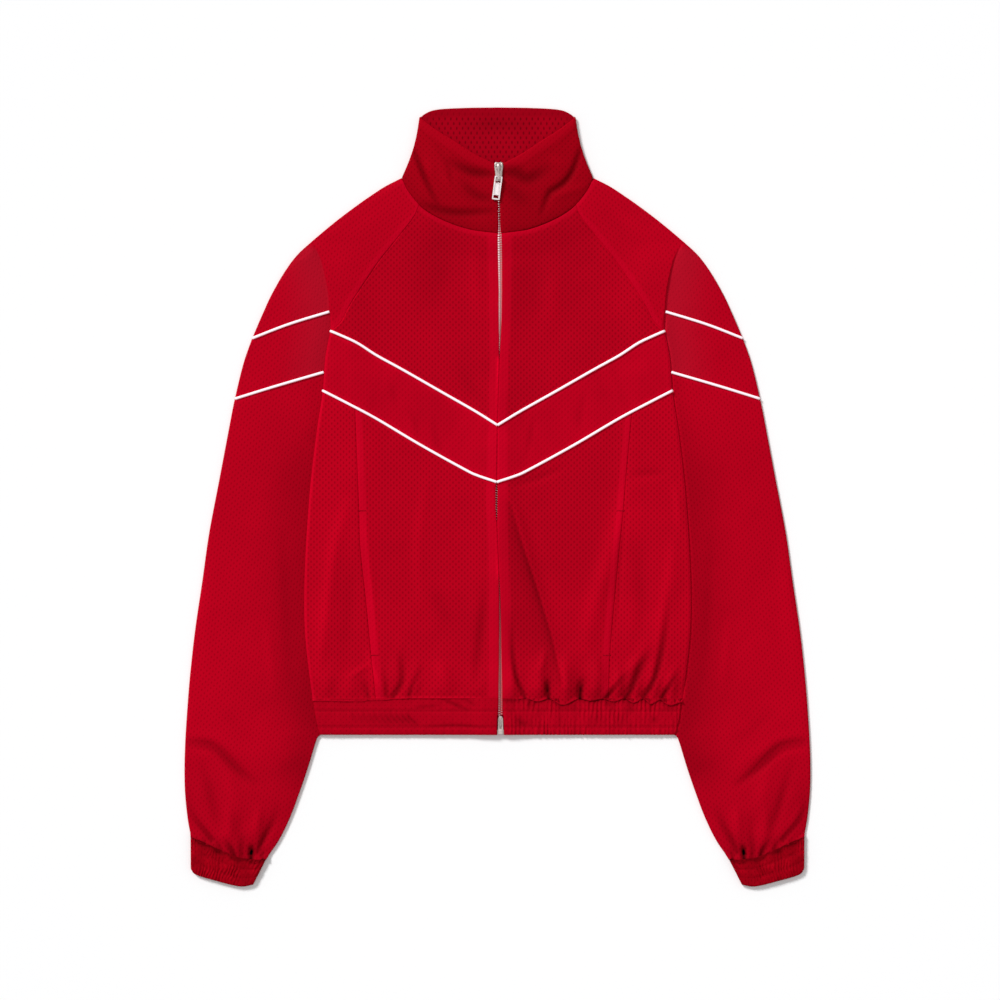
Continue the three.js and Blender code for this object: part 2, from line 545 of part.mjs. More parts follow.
function sleeve(side, sign) {
  const raglan = RAGLAN_F;
  const pleatShare = shareAt(SHOULDER_LINE, 1, 279.5);
  const pleat = (v) => {
    if (v >= pleatShare) return PLEAT_LINE((v - pleatShare) / (1 - pleatShare));
    const [x, y] = SHOULDER_LINE(v);
    return [x - mix(3.2, 3, v / pleatShare), y - mix(5, 0, v / pleatShare)];
  };
  const outerColumns = [0.15, 0.4, 0.64, 0.85];
  const neckShare = shareAt(NECK, 0, RAGLAN[0][0]);
  const upper = curve(SLEEVE_PIPING_UPPER);
  const lower = curve(SLEEVE_PIPING_LOWER);
  const upperPlace = (u, v) => {
    const [r, p, s] = [raglan(v), pleat(v), SHOULDER_LINE(v)];
    const spot = [0, 1].map((k) => (u <= 0 ? mix(p[k], r[k], -u) : mix(p[k], s[k], u)));
    const along = Math.hypot(spot[0] - r[0], spot[1] - r[1]) / Math.hypot(s[0] - r[0], s[1] - r[1]);
    const neck = NECK(mix(neckShare, 1, along));
    const piping = upper(Math.max(u, 0));
    return [0, 1].map((k) => spot[k] + (neck[k] - mix(r[k], s[k], along)) * ease(0.2, 0, v)
      + (piping[k] - mix(p[k], s[k], Math.max(u, 0))) * ease(0.7, 1, v) * (u > 0 ? 1 : 0));
  };
  wall(`sleeve_front_upper_${side}`, MATERIAL.knit, sign, {
    us: [-1, -0.75, -0.5, -0.25, -0.04, 0.03, ...outerColumns, 1],
    vs: shares(RAGLAN_ROWS),
    place: upperPlace,
    top: (x, y, u, v) => mix(capTop(side, x, y), EDGE_TOP, u < 0 ? ease(0.97, 1, v) : 0),
  });
  const flat = () => CLOTH;
  wall(`sleeve_back_upper_${side}`, MATERIAL.knit, sign, {
    us: [0, 0.2, 0.4, 0.6, 0.8, 1],
    vs: withoutPiping(shares(RAGLAN_ROWS), 0, 0.987),
    place: between({
      bottom: part(NECK_B, shareAt(NECK_B, 0, 70), 1),
      top: (u) => (u < 0.2 ? straight([183.5, UNDERARM_Y], [184.6, 204])(u / 0.2)
        : upper((u - 0.2) / 0.8)),
      inner: RAGLAN_B,
      outer: SHOULDER_LINE,
    }),
    top: flat,
  });
  const bandPlace = between({
    bottom: lower, top: upper,
    inner: (v) => {
      const y = mix(lower(0)[1], upper(0)[1], v);
      return [y > UNDERARM_Y ? mix(184, 184.6, (y - UNDERARM_Y) / 21.5) : foldEdge(y) + 0.5, y];
    },
    outer: part(OUTER_LINE, shareAt(OUTER_LINE, 1, 108), 0),
  });
  const layers = [['front', (x, y) => Math.min(sleeveTop(x, y), mix(9, TWO_LAYERS - 0.4, ease(3, 0, sleeveOuter(y) - x)))],
    ['back', flat]];
  for (const [layer, top] of layers) {
    wall(`sleeve_${layer}_band_${side}`, MATERIAL.knit, sign, {
      us: layer === 'front' ? ACROSS : shares(2),
      vs: layer === 'front' ? shares(3) : withoutPiping(shares(3), 0.027, 0.973),
      place: bandPlace,
      top,
    });
  }
  // Below the lower piping the inner edge runs under the body and comes out at the hem
  const cuffSeam = curve(CUFF_SEAM);
  const outerFrom = shareAt(OUTER_LINE, 1, 108);
  const outerLine = part(OUTER_LINE, outerFrom, 1);
  const innerY = (v) => mix(137.5, -398, v);
  const edge = (v) => {
    const y = innerY(v);
    return y > HEM_Y - 1 ? [foldEdge(y) + 0.5, y] : [sleeveFree(y) + 3, y + 1];
  };
  const inner = (v) => {
    const y = innerY(v);
    return y > HEM_Y - 1 ? [sleeveInner(y), y] : [sleeveFree(y), y];
  };
  const straightRows = sleevePiece(outerLine, edge, inner);
  const lowerPlace = (u, v) => {
    const [x, y] = straightRows(u, v);
    const share = Math.max(u, 0);
    const [topLine, bottomLine] = [lower(share), cuffSeam(share)];
    const chordTop = mix(137.5, 108, share);
    const chordBottom = mix(-398, -373, share);
    return [x, y + (topLine[1] - chordTop) * (1 - ease(0, 0.15, v)) + (bottomLine[1] - chordBottom) * ease(0.85, 1, v)];
  };
  for (const [layer, top] of layers) {
    wall(`sleeve_${layer}_lower_${side}`, MATERIAL.knit, sign, {
      us: layer === 'front' ? [-1, ...ACROSS] : [-1, 0, 0.5, 1],
      vs: layer === 'front' ? shares(26) : withoutPiping(shares(13), 0.0036, 1),
      place: lowerPlace,
      top,
    });
  }
  cuff(side, sign, cuffSeam);
  sleevePipings(side, sign, { upper, lower });
}

function cuff(side, sign, seam) {
  const place = between({
    bottom: curve(CUFF_HEM), top: seam,
    inner: straight(CUFF_HEM[0], CUFF_SEAM[0]),
    outer: straight(CUFF_HEM[CUFF_HEM.length - 1], CUFF_SEAM[CUFF_SEAM.length - 1]),
  });
  const vs = [0, 0.25, 0.75, 0.98];
  wall(`cuff_front_${side}`, MATERIAL.rib, sign, {
    us: shares(2 * CUFF_GATHERS),
    vs,
    place,
    top: (x, y, u) => TWO_RIBS + 0.8 * Math.sin(Math.PI * u) + 0.7
      + CUFF_GATHER_HEIGHT * gather(CUFF_GATHERS * u) * ease(0, 0.05, u) * ease(1, 0.95, u),
    thick: RIB,
  });
  wall(`cuff_back_${side}`, MATERIAL.rib, sign, {
    us: shares(7), vs: [0, 0.5, 0.98], place, top: () => RIB, thick: RIB,
  });
}

// Piping: a low rounded ribbon along a line, lying on the cloth or let into the back of the sleeve
function ribbon(name, sign, points, base, section) {
  const rings = points.map(([x, y], i) => {
    const [before, after] = [points[Math.max(i - 1, 0)], points[Math.min(i + 1, points.length - 1)]];
    const [dx, dy] = [after[0] - before[0], after[1] - before[1]];
    const long = Math.hypot(dx, dy);
    if (i === 0) return section.map(([off, up]) => [sign * x, y + (long / dx) * off, base(x, y) + up]);
    return section.map(([off, up]) => [sign * (x - (dy / long) * off), y + (dx / long) * off, base(x, y) + up]);
  });
  return add(name, MATERIAL.piping, sweep(rings, [[0, 1, 2], [0, 2, 3]]));
}

const ROUND = [[-PIPING_WIDTH / 2, 0], [PIPING_WIDTH / 2, 0], [PIPING_WIDTH * 0.3, PIPING_HEIGHT],
  [-PIPING_WIDTH * 0.3, PIPING_HEIGHT]];
const FLAT = [[-PIPING_WIDTH / 2, 0], [PIPING_WIDTH / 2, 0], [PIPING_WIDTH * 0.4, CLOTH], [-PIPING_WIDTH * 0.4, CLOTH]];
const LIFTED = 0.45; // above the cloth that the piping lies on

function bodyPipings(side, sign) {
  for (const [name, line] of [['upper', UPPER], ['lower', LOWER]]) {
    const place = besideZip((u) => line(u), sign);
    const points = FRONT_COLUMNS.map((u) => place(u, 0));
    points[0][0] += SEAM;
    const base = (x, y) => sideRim(side, x, y) + LIFTED;
    ribbon(`piping_${name}_${side}`, sign, points, base, ROUND);
  }
}

function sleevePipings(side, sign, lines) {
  for (const [name, line] of Object.entries(lines)) {
    const points = ACROSS.map((u) => line(mix(0.04, 0.985, u)));
    ribbon(`piping_sleeve_front_${name}_${side}`, sign, points, (x, y) => sleeveTop(x, y) + LIFTED, ROUND);
    ribbon(`piping_sleeve_back_${name}_${side}`, sign, points, () => 0, FLAT);
  }
}

// The zip

function zipMiddle(y) {
  let under = frontTop('right', 0, Math.max(y, WAIST_Y)) - CLOTH;
  if (y > 289) under = collarTop(0, (y - 289.5) / 74.5) - RIB;
  if (y < WAIST_Y) under = TWO_RIBS + 3.3 - RIB;
  return under - LAY - CHAIN_HIGH / 2 - 0.2;
}

const ZIP_STATIONS = [-261, -240.3, -239.7, -232, WAIST_Y, -205, -190, -165, -135, -105, -60, -30, 0, 18, 50, 79, 120,
  160, 190, 230, 262, 289, 305, 322, 340, 358.5, 360, 364];

function zipStrip(side, sign) {
  const rings = ZIP_STATIONS.map((y) => {
    const inner = y < -240 ? BOX.width / 2 + 0.4 : y > 359 ? SLIDER.web / 2 + 0.5 : 0.15;
    const chain = y < -240 ? TAPE_THICK / 2 : CHAIN_HIGH / 2;
    const tape = TAPE_THICK / 2;
    const edge = Math.max(CHAIN_HALF, inner + 0.3);
    const section = [[inner, -chain], [edge, -chain], [edge + 0.05, -tape], [TAPE_HALF, -tape], [TAPE_HALF, tape],
      [edge + 0.05, tape], [edge, chain], [inner, chain]];
    return section.map(([x, z]) => [zipX(y) + sign * x, y, zipMiddle(y) + z]);
  });
  const caps = [[0, 1, 6], [0, 6, 7], [1, 2, 5], [1, 5, 6], [2, 3, 4], [2, 4, 5]];
  return add(`zip_${side}`, MATERIAL.tape, sweep(rings, caps));
}

// The collar: one doubled strip from zip to zip, folded at both sides, its front standing off its back

// Upper face of the collar's front: share 0 at the zip to 1 at the side fold, up 0 at the neck seam to 1 at the top
function collarTop(share, up) {
  const [x, y] = NECK(share);
  const seam = frontTop('left', x, y) + 0.4;
  const stand = TWO_RIBS + 0.6 + 8.4 * (1 - share ** 2.2) * mix(0.8, 1, up);
  return mix(seam, stand, ease(-0.1, 0.55, up));
}

function collar() {
  const frontTopEdge = curve(COLLAR_FRONT_TOP);
  const backTopEdge = curve(COLLAR_BACK_TOP);
  const ups = [0.008, 0.16, 0.34, 0.55, 0.78, 1];
  const frontShares = [0, 0.12, 0.25, 0.38, 0.5, 0.62, 0.72, 0.8, 0.87, 0.93, 0.97];
  const backShares = [0.93, 0.75, 0.5, 0.25];
  const half = (up, sign) => {
    const bow = COLLAR_SIDE_BOW * Math.sin(Math.PI * up);
    const spot = (low, high, share) => {
      const [a, b] = [low(share), high(share)];
      return [mix(a[0], b[0], up) - bow * share ** 3, mix(a[1], b[1], up)];
    };
    const [fx, fy] = spot(NECK, frontTopEdge, 1);
    const height = collarTop(1, up);
    const points = frontShares.map((share) => {
      const [x, y] = spot(NECK, frontTopEdge, share);
      const zip = (sign * zipX(y) + zipGap(y)) * (1 - share) ** 3;
      const z = collarTop(share, up);
      return { outer: [x + zip, y, z], inner: [x + zip, y, z - RIB] };
    });
    const turn = (inX, outZ, innerX, innerZ) => ({
      outer: [fx - inX, fy, outZ], inner: [fx - innerX, fy, innerZ],
    });
    const middle = (height - RIB + RIB) / 2;
    points.push(turn(1.2, height - 0.8, 3, middle + 0.25));
    points.push(turn(0, height / 2, 2.4, middle));
    points.push(turn(1.2, 0.8, 3, middle - 0.25));
    for (const share of backShares) {
      const [x, y] = spot(NECK_B, backTopEdge, share);
      points.push({ outer: [x, y, 0], inner: [x, y, RIB] });
    }
    return points.map(({ outer, inner }) => ({
      outer: [sign * outer[0], outer[1], outer[2]], inner: [sign * inner[0], inner[1], inner[2]],
    }));
  };
  const strips = ups.map((up) => {
    const y = mix(354, COLLAR_TOP_Y, up);
    const centre = { outer: [0, y, 0], inner: [0, y, RIB] };
    return [...half(up, -1), centre, ...half(up, 1).reverse()];
  });
  const upper = strips.map((row) => row.map((p) => p.outer));
  const lower = strips.map((row) => row.map((p) => p.inner));
  add('collar', MATERIAL.rib, shell(upper, lower));
}

// The zip's hard pieces, joined from plates

const wasm = await Module();
wasm.setup();

function toSolid(geometry) {
  const bare = geometry.clone();
  bare.deleteAttribute('normal');
  bare.deleteAttribute('uv');
  const merged = mergeVertices(bare);
  return new wasm.Manifold(new wasm.Mesh({
    numProp: 3,
    vertProperties: new Float32Array(merged.attributes.position.array),
    triVerts: new Uint32Array(merged.index.array),
  }));
}

function joined(geometries) {
  const { vertProperties, triVerts } = geometries.map(toSolid).reduce((a, b) => a.add(b)).getMesh();
  const geometry = new THREE.BufferGeometry();
  geometry.setAttribute('position', new THREE.BufferAttribute(vertProperties, 3));
  geometry.setIndex(new THREE.BufferAttribute(triVerts, 1));
  return geometry;
}

const shapeOf = (points) => new THREE.Shape(points.map(([x, y]) => new THREE.Vector2(x, y)));
const plate = (points, depth) => new THREE.ExtrudeGeometry(shapeOf(points), { depth, bevelEnabled: false });
const block = (x0, x1, y0, y1, z0, z1) => new THREE.BoxGeometry(x1 - x0, y1 - y0, z1 - z0)
  .translate((x0 + x1) / 2, (y0 + y1) / 2, (z0 + z1) / 2);

function slider() {
  const cloth = collarTop(0, 1);
  const chainUnder = zipMiddle(SLIDER.y) - CHAIN_HIGH / 2;
  const top = cloth + LAY;
  const bottom = chainUnder - LAY - SLIDER.plate;
  const bridge = plate(BRIDGE_OUTLINE, SLIDER.bridge).translate(0, 0, -SLIDER.bridge / 2)
    .rotateX(Math.PI / 2).rotateZ(Math.PI / 2);
  const mesh = add('zip_slider', MATERIAL.metal, joined([
    plate(SLIDER_OUTLINE, SLIDER.plate).translate(0, 0, top),
    plate(SLIDER_OUTLINE, SLIDER.plate).translate(0, 0, bottom),
    block(-SLIDER.web / 2, SLIDER.web / 2, 3.8, 8, bottom, top + SLIDER.plate / 2),
    bridge.translate(0, 0, top + SLIDER.plate),
  ]));
  mesh.position.set(SLIDER.x, SLIDER.y, 0);

  const half = TAB.width / 2;
  const tab = shapeOf([[-half + 0.8, -TAB.length], [half - 0.8, -TAB.length], [half, -TAB.length + 0.8], [half, 0],
    [-half, 0], [-half, -TAB.length + 0.8]]);
  const inside = half - TAB.rim;
  for (const [from, to] of [[TAB.bar, TAB.windowEnd], [TAB.slotFrom, TAB.slotTo]]) {
    const hole = [[-inside, -from], [inside, -from], [inside, -to], [-inside, -to]];
    tab.holes.push(new THREE.Path(hole.map(([x, y]) => new THREE.Vector2(x, y))));
  }
  const geometry = new THREE.ExtrudeGeometry(tab, { depth: TAB.thick, bevelEnabled: false })
    .translate(0, TAB.bar / 2, -TAB.thick / 2);
  const hanging = new THREE.Group();
  hanging.position.set(SLIDER.x, SLIDER.y + PIVOT.y, top + SLIDER.plate + PIVOT.z);
  hanging.rotation.z = TAB_TURN;
  const pull = new THREE.Mesh(geometry, MATERIAL.metal);
  pull.name = 'pull_tab';
  pull.rotation.x = TAB_DROP;
  hanging.add(pull);
  jacket.add(hanging);
}

function box() {
  const z = zipMiddle(HEM_Y);
  const half = BOX.width / 2;
  add('zip_box', MATERIAL.metal, joined([
    block(-half, half, HEM_Y, BOX.top, z - TAPE_THICK / 2, z + TAPE_THICK / 2),
    block(-half + 0.8, half - 0.8, HEM_Y, BOX.top - 10, z - BOX.thick / 2, z + BOX.thick / 2),
    block(-BOX.pin / 2, BOX.pin / 2, HEM_Y + 4, BOX.top - 0.2, z - BOX.thick / 2, z + BOX.thick / 2 + 0.5),
  ])).position.x = BOX.x;
}

for (const [side, sign] of SIDES) {
  front(side, sign);
  sleeve(side, sign);
  bodyPipings(side, sign);
  zipStrip(side, sign);
}
back();
collar();
slider();
box();

export default jacket;
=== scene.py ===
import bmesh
import bpy
import numpy as np
from mathutils import Matrix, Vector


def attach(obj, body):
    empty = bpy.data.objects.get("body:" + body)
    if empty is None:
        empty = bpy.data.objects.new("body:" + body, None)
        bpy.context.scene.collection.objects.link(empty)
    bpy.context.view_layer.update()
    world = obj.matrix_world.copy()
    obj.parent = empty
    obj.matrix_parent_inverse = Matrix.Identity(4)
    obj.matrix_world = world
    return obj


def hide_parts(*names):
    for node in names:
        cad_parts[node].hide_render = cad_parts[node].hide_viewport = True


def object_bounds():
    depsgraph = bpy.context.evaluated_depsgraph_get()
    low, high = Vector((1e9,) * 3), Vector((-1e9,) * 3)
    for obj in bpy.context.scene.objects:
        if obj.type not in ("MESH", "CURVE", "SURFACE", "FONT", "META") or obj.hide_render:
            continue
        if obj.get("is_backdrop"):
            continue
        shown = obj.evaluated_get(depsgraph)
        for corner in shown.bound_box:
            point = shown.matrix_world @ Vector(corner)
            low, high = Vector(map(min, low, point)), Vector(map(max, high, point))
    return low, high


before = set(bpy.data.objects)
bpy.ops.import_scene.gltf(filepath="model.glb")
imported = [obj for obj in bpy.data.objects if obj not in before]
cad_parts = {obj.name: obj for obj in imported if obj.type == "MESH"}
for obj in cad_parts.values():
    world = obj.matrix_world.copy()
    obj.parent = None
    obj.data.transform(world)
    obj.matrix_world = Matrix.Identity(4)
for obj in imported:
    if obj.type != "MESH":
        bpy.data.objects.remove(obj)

cad_box = [list(corner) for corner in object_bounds()]
MM = 0.001

# Cloth and levels, as in the solids
CLOTH = 1.3
RIB = 2.0
LAY = 0.4
SEAM = 0.05
TWO_LAYERS = 2 * CLOTH + LAY
BACK_OVER_SLEEVE = TWO_LAYERS + LAY
FRONT_OVER_SLEEVE = BACK_OVER_SLEEVE + 2 * CLOTH + LAY
EDGE_TOP = BACK_OVER_SLEEVE + CLOTH + LAY
TWO_RIBS = 2 * RIB + LAY
HEM_Y = -261.5
WAIST_Y = -221.5
UNDERARM_Y = 182.5
COLLAR_TOP_Y = 428.2
NECK_Y = 289.5
CHEVRON_TOP_Y = 79
CHEVRON_FOOT_Y = 16.5
# Outer ends of the waist seam and of the hem
WAIST_X = 203.5
HEM_X = 195
# Upper end of the pleat over the sleeve, and where the fronts begin to lie on the sleeve below it
PLEAT_TOP_Y = 279.5
PLEATED_BELOW_Y = 279
# The sleeve's lower piping and its cuff seam, at the inner and at the outer edge
PIPING_INNER_Y = 137.5
PIPING_OUTER_Y = 108
CUFF_INNER_Y = -398
CUFF_OUTER_Y = -373

# Seams and edges of one half, as points [x, y]
NECK_FRONT = [[0, NECK_Y], [32, 294.5], [61, 305], [83, 318.5], [98, 336], [105.5, 351]]
NECK_BACK = [[0, 353.5], [70, 353.5], [105.5, 351]]
RAGLAN = [[86.5, 321.5], [92, 308], [112, 282.5], [133, 256], [161, 213.5], [172, 193], [183.5, UNDERARM_Y]]
RAGLAN_BACK = [[70, 353.5], [85, 320], [112, 282.5], [145, 236], [183.5, UNDERARM_Y]]
SHOULDER = [[105.5, 351], [125, 341.2], [150, 324.2], [178.5, 302.8], [206.3, PLEAT_TOP_Y], [222, 264.5],
            [235.7, 245.5], [250.8, 219], [263.6, 189], [270.1, 174.5]]
SLEEVE_OUTER = [[270.1, 174.5], [279.6, 147], [289.1, PIPING_OUTER_Y], [295.8, 74], [306.2, 19], [317.4, -40],
                [325, -93.5], [332.5, -144], [337.5, -187.5], [340.5, -221], [343.5, -266], [344.5, -300],
                [343.8, -327], [341, -354], [337.5, CUFF_OUTER_Y]]
PLEAT = [[203.1, PLEAT_TOP_Y], [193.7, 260.5], [186.5, 229], [184.3, 205.5]]
BODY_SIDE = [[184, UNDERARM_Y], [189.5, 153], [192.5, 115], [198.5, 75], [205.5, 17], [210, -41],
             [212.5, -98], [212, -146], [208, -187.5], [WAIST_X, WAIST_Y]]
BAND_SIDE = [[WAIST_X, WAIST_Y], [198.5, -249], [HEM_X, HEM_Y]]
SLEEVE_FREE_EDGE = [[196.5, -263], [199.5, -268], [209, -299], [219, -328], [228.5, -353], [240.5, -377.5],
                    [254.5, -398]]
PIPING_UPPER = [[0, CHEVRON_TOP_Y], [26, 95], [63, 116], [105, 140], [133, 155.5], [154, 169], [172, 177.5],
                [183.7, UNDERARM_Y]]
PIPING_LOWER = [[0, CHEVRON_FOOT_Y], [21, 23.5], [35, 30], [84, 57], [133, 86], [165, 103], [192.3, 117]]
SLEEVE_PIPING_UPPER = [[184.6, 204], [229.5, 190], [270.1, 174.5]]
SLEEVE_PIPING_LOWER = [[190.8, PIPING_INNER_Y], [243.5, 122], [289.1, PIPING_OUTER_Y]]
CUFF_SEAM = [[254.5, -398], [269, -398.3], [284, -395.8], [306, -387], [321.5, -379.5], [337.5, -373]]
# The origin is the middle of the outline, so the cuffs reach as far down as the collar reaches up
CUFF_HEM = [[269, -426.5], [284, -COLLAR_TOP_Y], [311, -421.7], [331.5, -415.5], [337.3, -409.5]]
COLLAR_FRONT_TOP = [[0, 364], [25, 376], [47, 390], [69, 404], [86, 417.5]]
COLLAR_BACK_TOP = [[0, COLLAR_TOP_Y], [39, 427.6], [70, 425.2], [86, 417.5]]
COLLAR_SIDE_BOW = 3.2
PANEL_SEAM_TOP_X = {"left": 148, "right": 156.8}
PANEL_SEAM = {
    "left": [[141.5, 23], [138, -20], [134.5, -55], [129, -112], [124, -170], [122, WAIST_Y]],
    "right": [[152.5, -9], [151, -55], [145, -112], [139.5, -170], [134, WAIST_Y]],
}
# y, x of the zip, half the gap between the front edges
ZIP = [
    [HEM_Y, 3.3, 4.0], [-241, 3.3, 3.4], [-234, 3.3, 2.6], [WAIST_Y, 3.3, 2.0], [-170, 3.0, 1.1],
    [-113, 2.7, 0.5], [-80, 1.4, 0.1], [-30, -0.5, 0.02], [-14, -1, 0.8], [8, -1, 1.0], [18, -0.7, 0.02],
    [CHEVRON_TOP_Y, 0, 0.02], [150, 2, 0.1], [182, 2.8, 0.9], [198, 3, 1.4], [230, 3.2, 1.6], [277, 2.7, 2.3],
    [289, 2.4, 2.0], [302, 2.0, 1.5], [325, 1.6, 1.5], [350, 1.3, 1.6], [366, 1.2, 2.2],
]
# y, how far the sleeve is tucked under the body's edge, lift of the front there, lift of the back
SIDE = [
    [280, -0.4, 0, 0], [258, -0.4, 0.7, 0], [235, -0.4, 1, 0], [UNDERARM_Y, -0.4, 1, 0], [163, -0.4, 1, 1],
    [155, -0.4, 1, 1], [130, 12, 1, 1], [90, 20, 1, 1], [30, 27, 1, 1], [-40, 30, 1, 1], [-100, 28, 1, 1],
    [-150, 20, 1, 1], [-180, 9, 1, 1], [-198, -0.4, 1, 1], [-216, -0.4, 0.45, 0], [WAIST_Y, -0.4, 0.3, 0],
]
# Folds: line, height, width
FRONT_FOLDS = {
    "left": [
        ([[7, 9], [21.5, -20], [36, -78], [53.5, -135], [69, -196]], 1.6, 9),
        ([[22, 8], [35, -22], [50, -78], [66, -130]], -0.7, 12),
        ([[16, 14], [45, 22], [71, 33]], -0.6, 10),
        ([[148, 23], [180, 28.5]], -0.7, 12),
        ([[122.7, -216], [141, -195], [162, -172]], 1.8, 10),
        ([[183, -216], [192, -202], [199, -190]], 1.4, 9),
        ([[180, -185], [190, -120], [200, -69]], 1.3, 14),
    ],
    "right": [
        ([[196, -199], [185, -84], [168, -12]], 1.6, 18),
        ([[114, -212], [107, -158]], 1.2, 10),
        ([[91, -212], [88, -178]], 0.9, 9),
        ([[30, -205], [24, -120], [20, -60]], 0.8, 16),
    ],
}
# Folds too fine for the solids: kind, line, height, width, how much painted shade the hollow gets (negative:
# painted light on a ridge). A pit is deepest at its first point, an edge falls away on its right-hand side
# only.
BODY_RELIEF = {
    "left": [
        ("edge", [[14.3, -9], [26, -51], [40, -92.5], [51.4, -129.5], [60.7, -162], [69, -205]],
         -2.6, 19, 0.30),
        ("pit", [[31, -222], [26, -210], [21, -197], [17, -167], [15.5, -120]], -2.8, 4.5, 0.30),
        ("pit", [[56.5, -225], [55.5, -214], [55, -203], [54, -194]], -3.6, 5, 0.44),
        ("fold", [[52, -168], [50, -180], [47, -192]], 1.3, 6, -0.06),
        ("pit", [[90.5, -225], [91, -213], [93, -204], [99, -193]], -4.0, 5.5, 0.50),
        ("pit", [[91.5, -213], [91.5, -207], [92, -200]], -0.8, 4.2, 0.16),
        ("pit", [[55, -213], [55, -206], [54.5, -199]], -1.2, 3.8, 0.24),
        ("pit", [[104, -225], [118, -222], [127.8, -211], [141.7, -194], [150, -183]], -3.0, 4.2, 0.40),
        ("pit", [[139, -223], [146, -213], [156, -190], [165, -173], [174, -152]], -3.8, 7, 0.42),
        ("pit", [[160, -221], [173, -200], [183, -158], [188, -111], [189, -80]], -3.2, 6, 0.36),
        ("pit", [[178, -226], [190, -206], [199, -191], [203, -180]], -3.0, 4.5, 0.38),
        ("fold", [[141.7, 5], [127.8, -51], [109.3, -111], [97.7, -167]], 2.2, 16, -0.07),
        ("fold", [[142, -10], [136, -62], [131, -120], [126, -160]], -1.2, 5, 0.06),
        ("fold", [[155, -50], [160, -131], [151, -167]], -1.4, 14, 0.08),
        ("fold", [[196, 10], [201, -35]], 1.2, 7, -0.06),
        ("fold", [[194, -50], [184, -120], [178, -160]], 1.4, 10, -0.05),
        ("fold", [[110, -190], [118, -206], [124, -214]], 1.2, 7, -0.04),
        ("fold", [[72, -180], [74, -205], [74, -216]], 1.4, 8, -0.05),
        ("fold", [[43, 275], [34, 230], [27, 181]], -1.0, 26, 0.07),
        ("fold", [[64, 245], [56, 190]], 0.8, 16, -0.03),
        ("fold", [[16, 12], [45, 20], [71, 31]], -0.7, 5, 0.07),
        ("fold", [[150, 24], [185, 26]], -0.7, 5, 0.06),
        ("fold", [[40, 84], [36, 62], [33, 44]], -0.6, 5, 0.05),
        ("fold", [[96, 112], [92, 92], [90, 76]], -0.5, 6, 0.04),
    ],
    "right": [
        ("fold", [[164, -7], [178, -46], [185, -97], [192, -155], [199, -201]], 0.8, 10, -0.08),
        ("fold", [[160, -70], [163, -120], [167.5, -185]], -1.4, 15, 0.08),
        ("fold", [[146, -18], [139, -90], [133, -170]], 0.6, 6, -0.06),
        ("pit", [[119, -224], [109, -212], [104, -200], [106, -180], [116, -160]], -2.4, 5.5, 0.28),
        ("pit", [[121, -222], [121.5, -205], [124, -190], [125, -174]], -1.2, 4, 0.10),
        ("pit", [[97, -222], [93, -208], [84, -190], [80, -180]], -1.4, 4.5, 0.15),
        ("pit", [[142, -224], [144, -212], [146, -203], [147, -196]], -2.2, 4.5, 0.28),
        ("fold", [[141, -174], [134, -196], [128, -213]], 1.8, 7, -0.06),
        ("fold", [[162, -198], [150, -190], [142, -185]], 1.0, 5, -0.05),
        ("fold", [[69, -105], [58, -127], [50, -146]], -0.9, 13, 0.07),
        ("fold", [[66, -178], [60, -195], [55, -210]], 1.0, 11, -0.05),
        ("fold", [[14, -110], [18, -150], [24, -205]], -1.2, 8, 0.10),
        ("fold", [[78, 15], [87, -50], [85, -120]], 0.9, 10, -0.05),
        ("fold", [[60, 285], [68, 240], [82, 205]], -1.2, 34, 0.09),
        ("fold", [[40, 140], [14, 98]], -0.8, 12, 0.07),
        ("fold", [[26, 270], [22, 200]], 0.5, 10, -0.03),
        ("fold", [[96, 96], [88, 76], [86, 62]], -0.6, 5, 0.05),
        ("fold", [[70, 86], [66, 62], [58, 40]], -0.6, 6, 0.05),
        ("fold", [[118, 128], [112, 108], [110, 96]], -0.5, 6, 0.04),
    ],
}
# Small wrinkles of the waistband. On the right a row of slanting ones comes first.
BAND_RELIEF = {
    "right": [
        *[("fold", [[160 - 6.1 * k, -238], [156.5 - 6.1 * k, -244], [151 - 6.3 * k, -251]],
           -0.7 - 0.05 * k, 2.6, 0.10 + 0.015 * k) for k in range(11)],
        ("fold", [[60, -223], [46, -229], [33, -235]], -1.2, 3, 0.24),
        ("fold", [[90, -232], [64, -230.5]], -0.8, 3, 0.12),
        ("fold", [[74, -253], [44, -251.5], [14, -254]], -0.8, 2.6, 0.16),
        ("fold", [[36, -223], [22, -231]], -0.8, 3, 0.12),
    ],
    "left": [
        ("fold", [[24, -243], [26, -249], [34, -250]], -1.2, 5, 0.22),
        ("fold", [[34, -226], [38, -233]], -1, 4, 0.18),
        ("fold", [[172, -242], [175, -250]], -1.2, 5, 0.2),
        ("fold", [[120, -226], [123, -232]], -1, 4, 0.18),
        ("fold", [[86, -228], [84, -236]], -0.8, 4, 0.12),
        ("fold", [[146, -228], [150, -240]], -0.8, 4, 0.14),
    ],
}
# x of the waist seam, how far the cloth hangs over the band there
OVERHANG = {
    "left": [[0, 1], [16, 2], [31, 0], [44, 3.5], [56.5, 0.5], [72, 7.5], [90.5, 0.5], [104, 3], [116, 1],
             [128, 3.5], [139, 0.5], [150, 5], [160, 0.5], [169, 6.5], [178, 2], [190, 8], [204, 4]],
    "right": [[0, 0.2], [95, 0.2], [108, 0.6], [125, 2.2], [142, 2.4], [150, 3.6], [204, 3]],
}
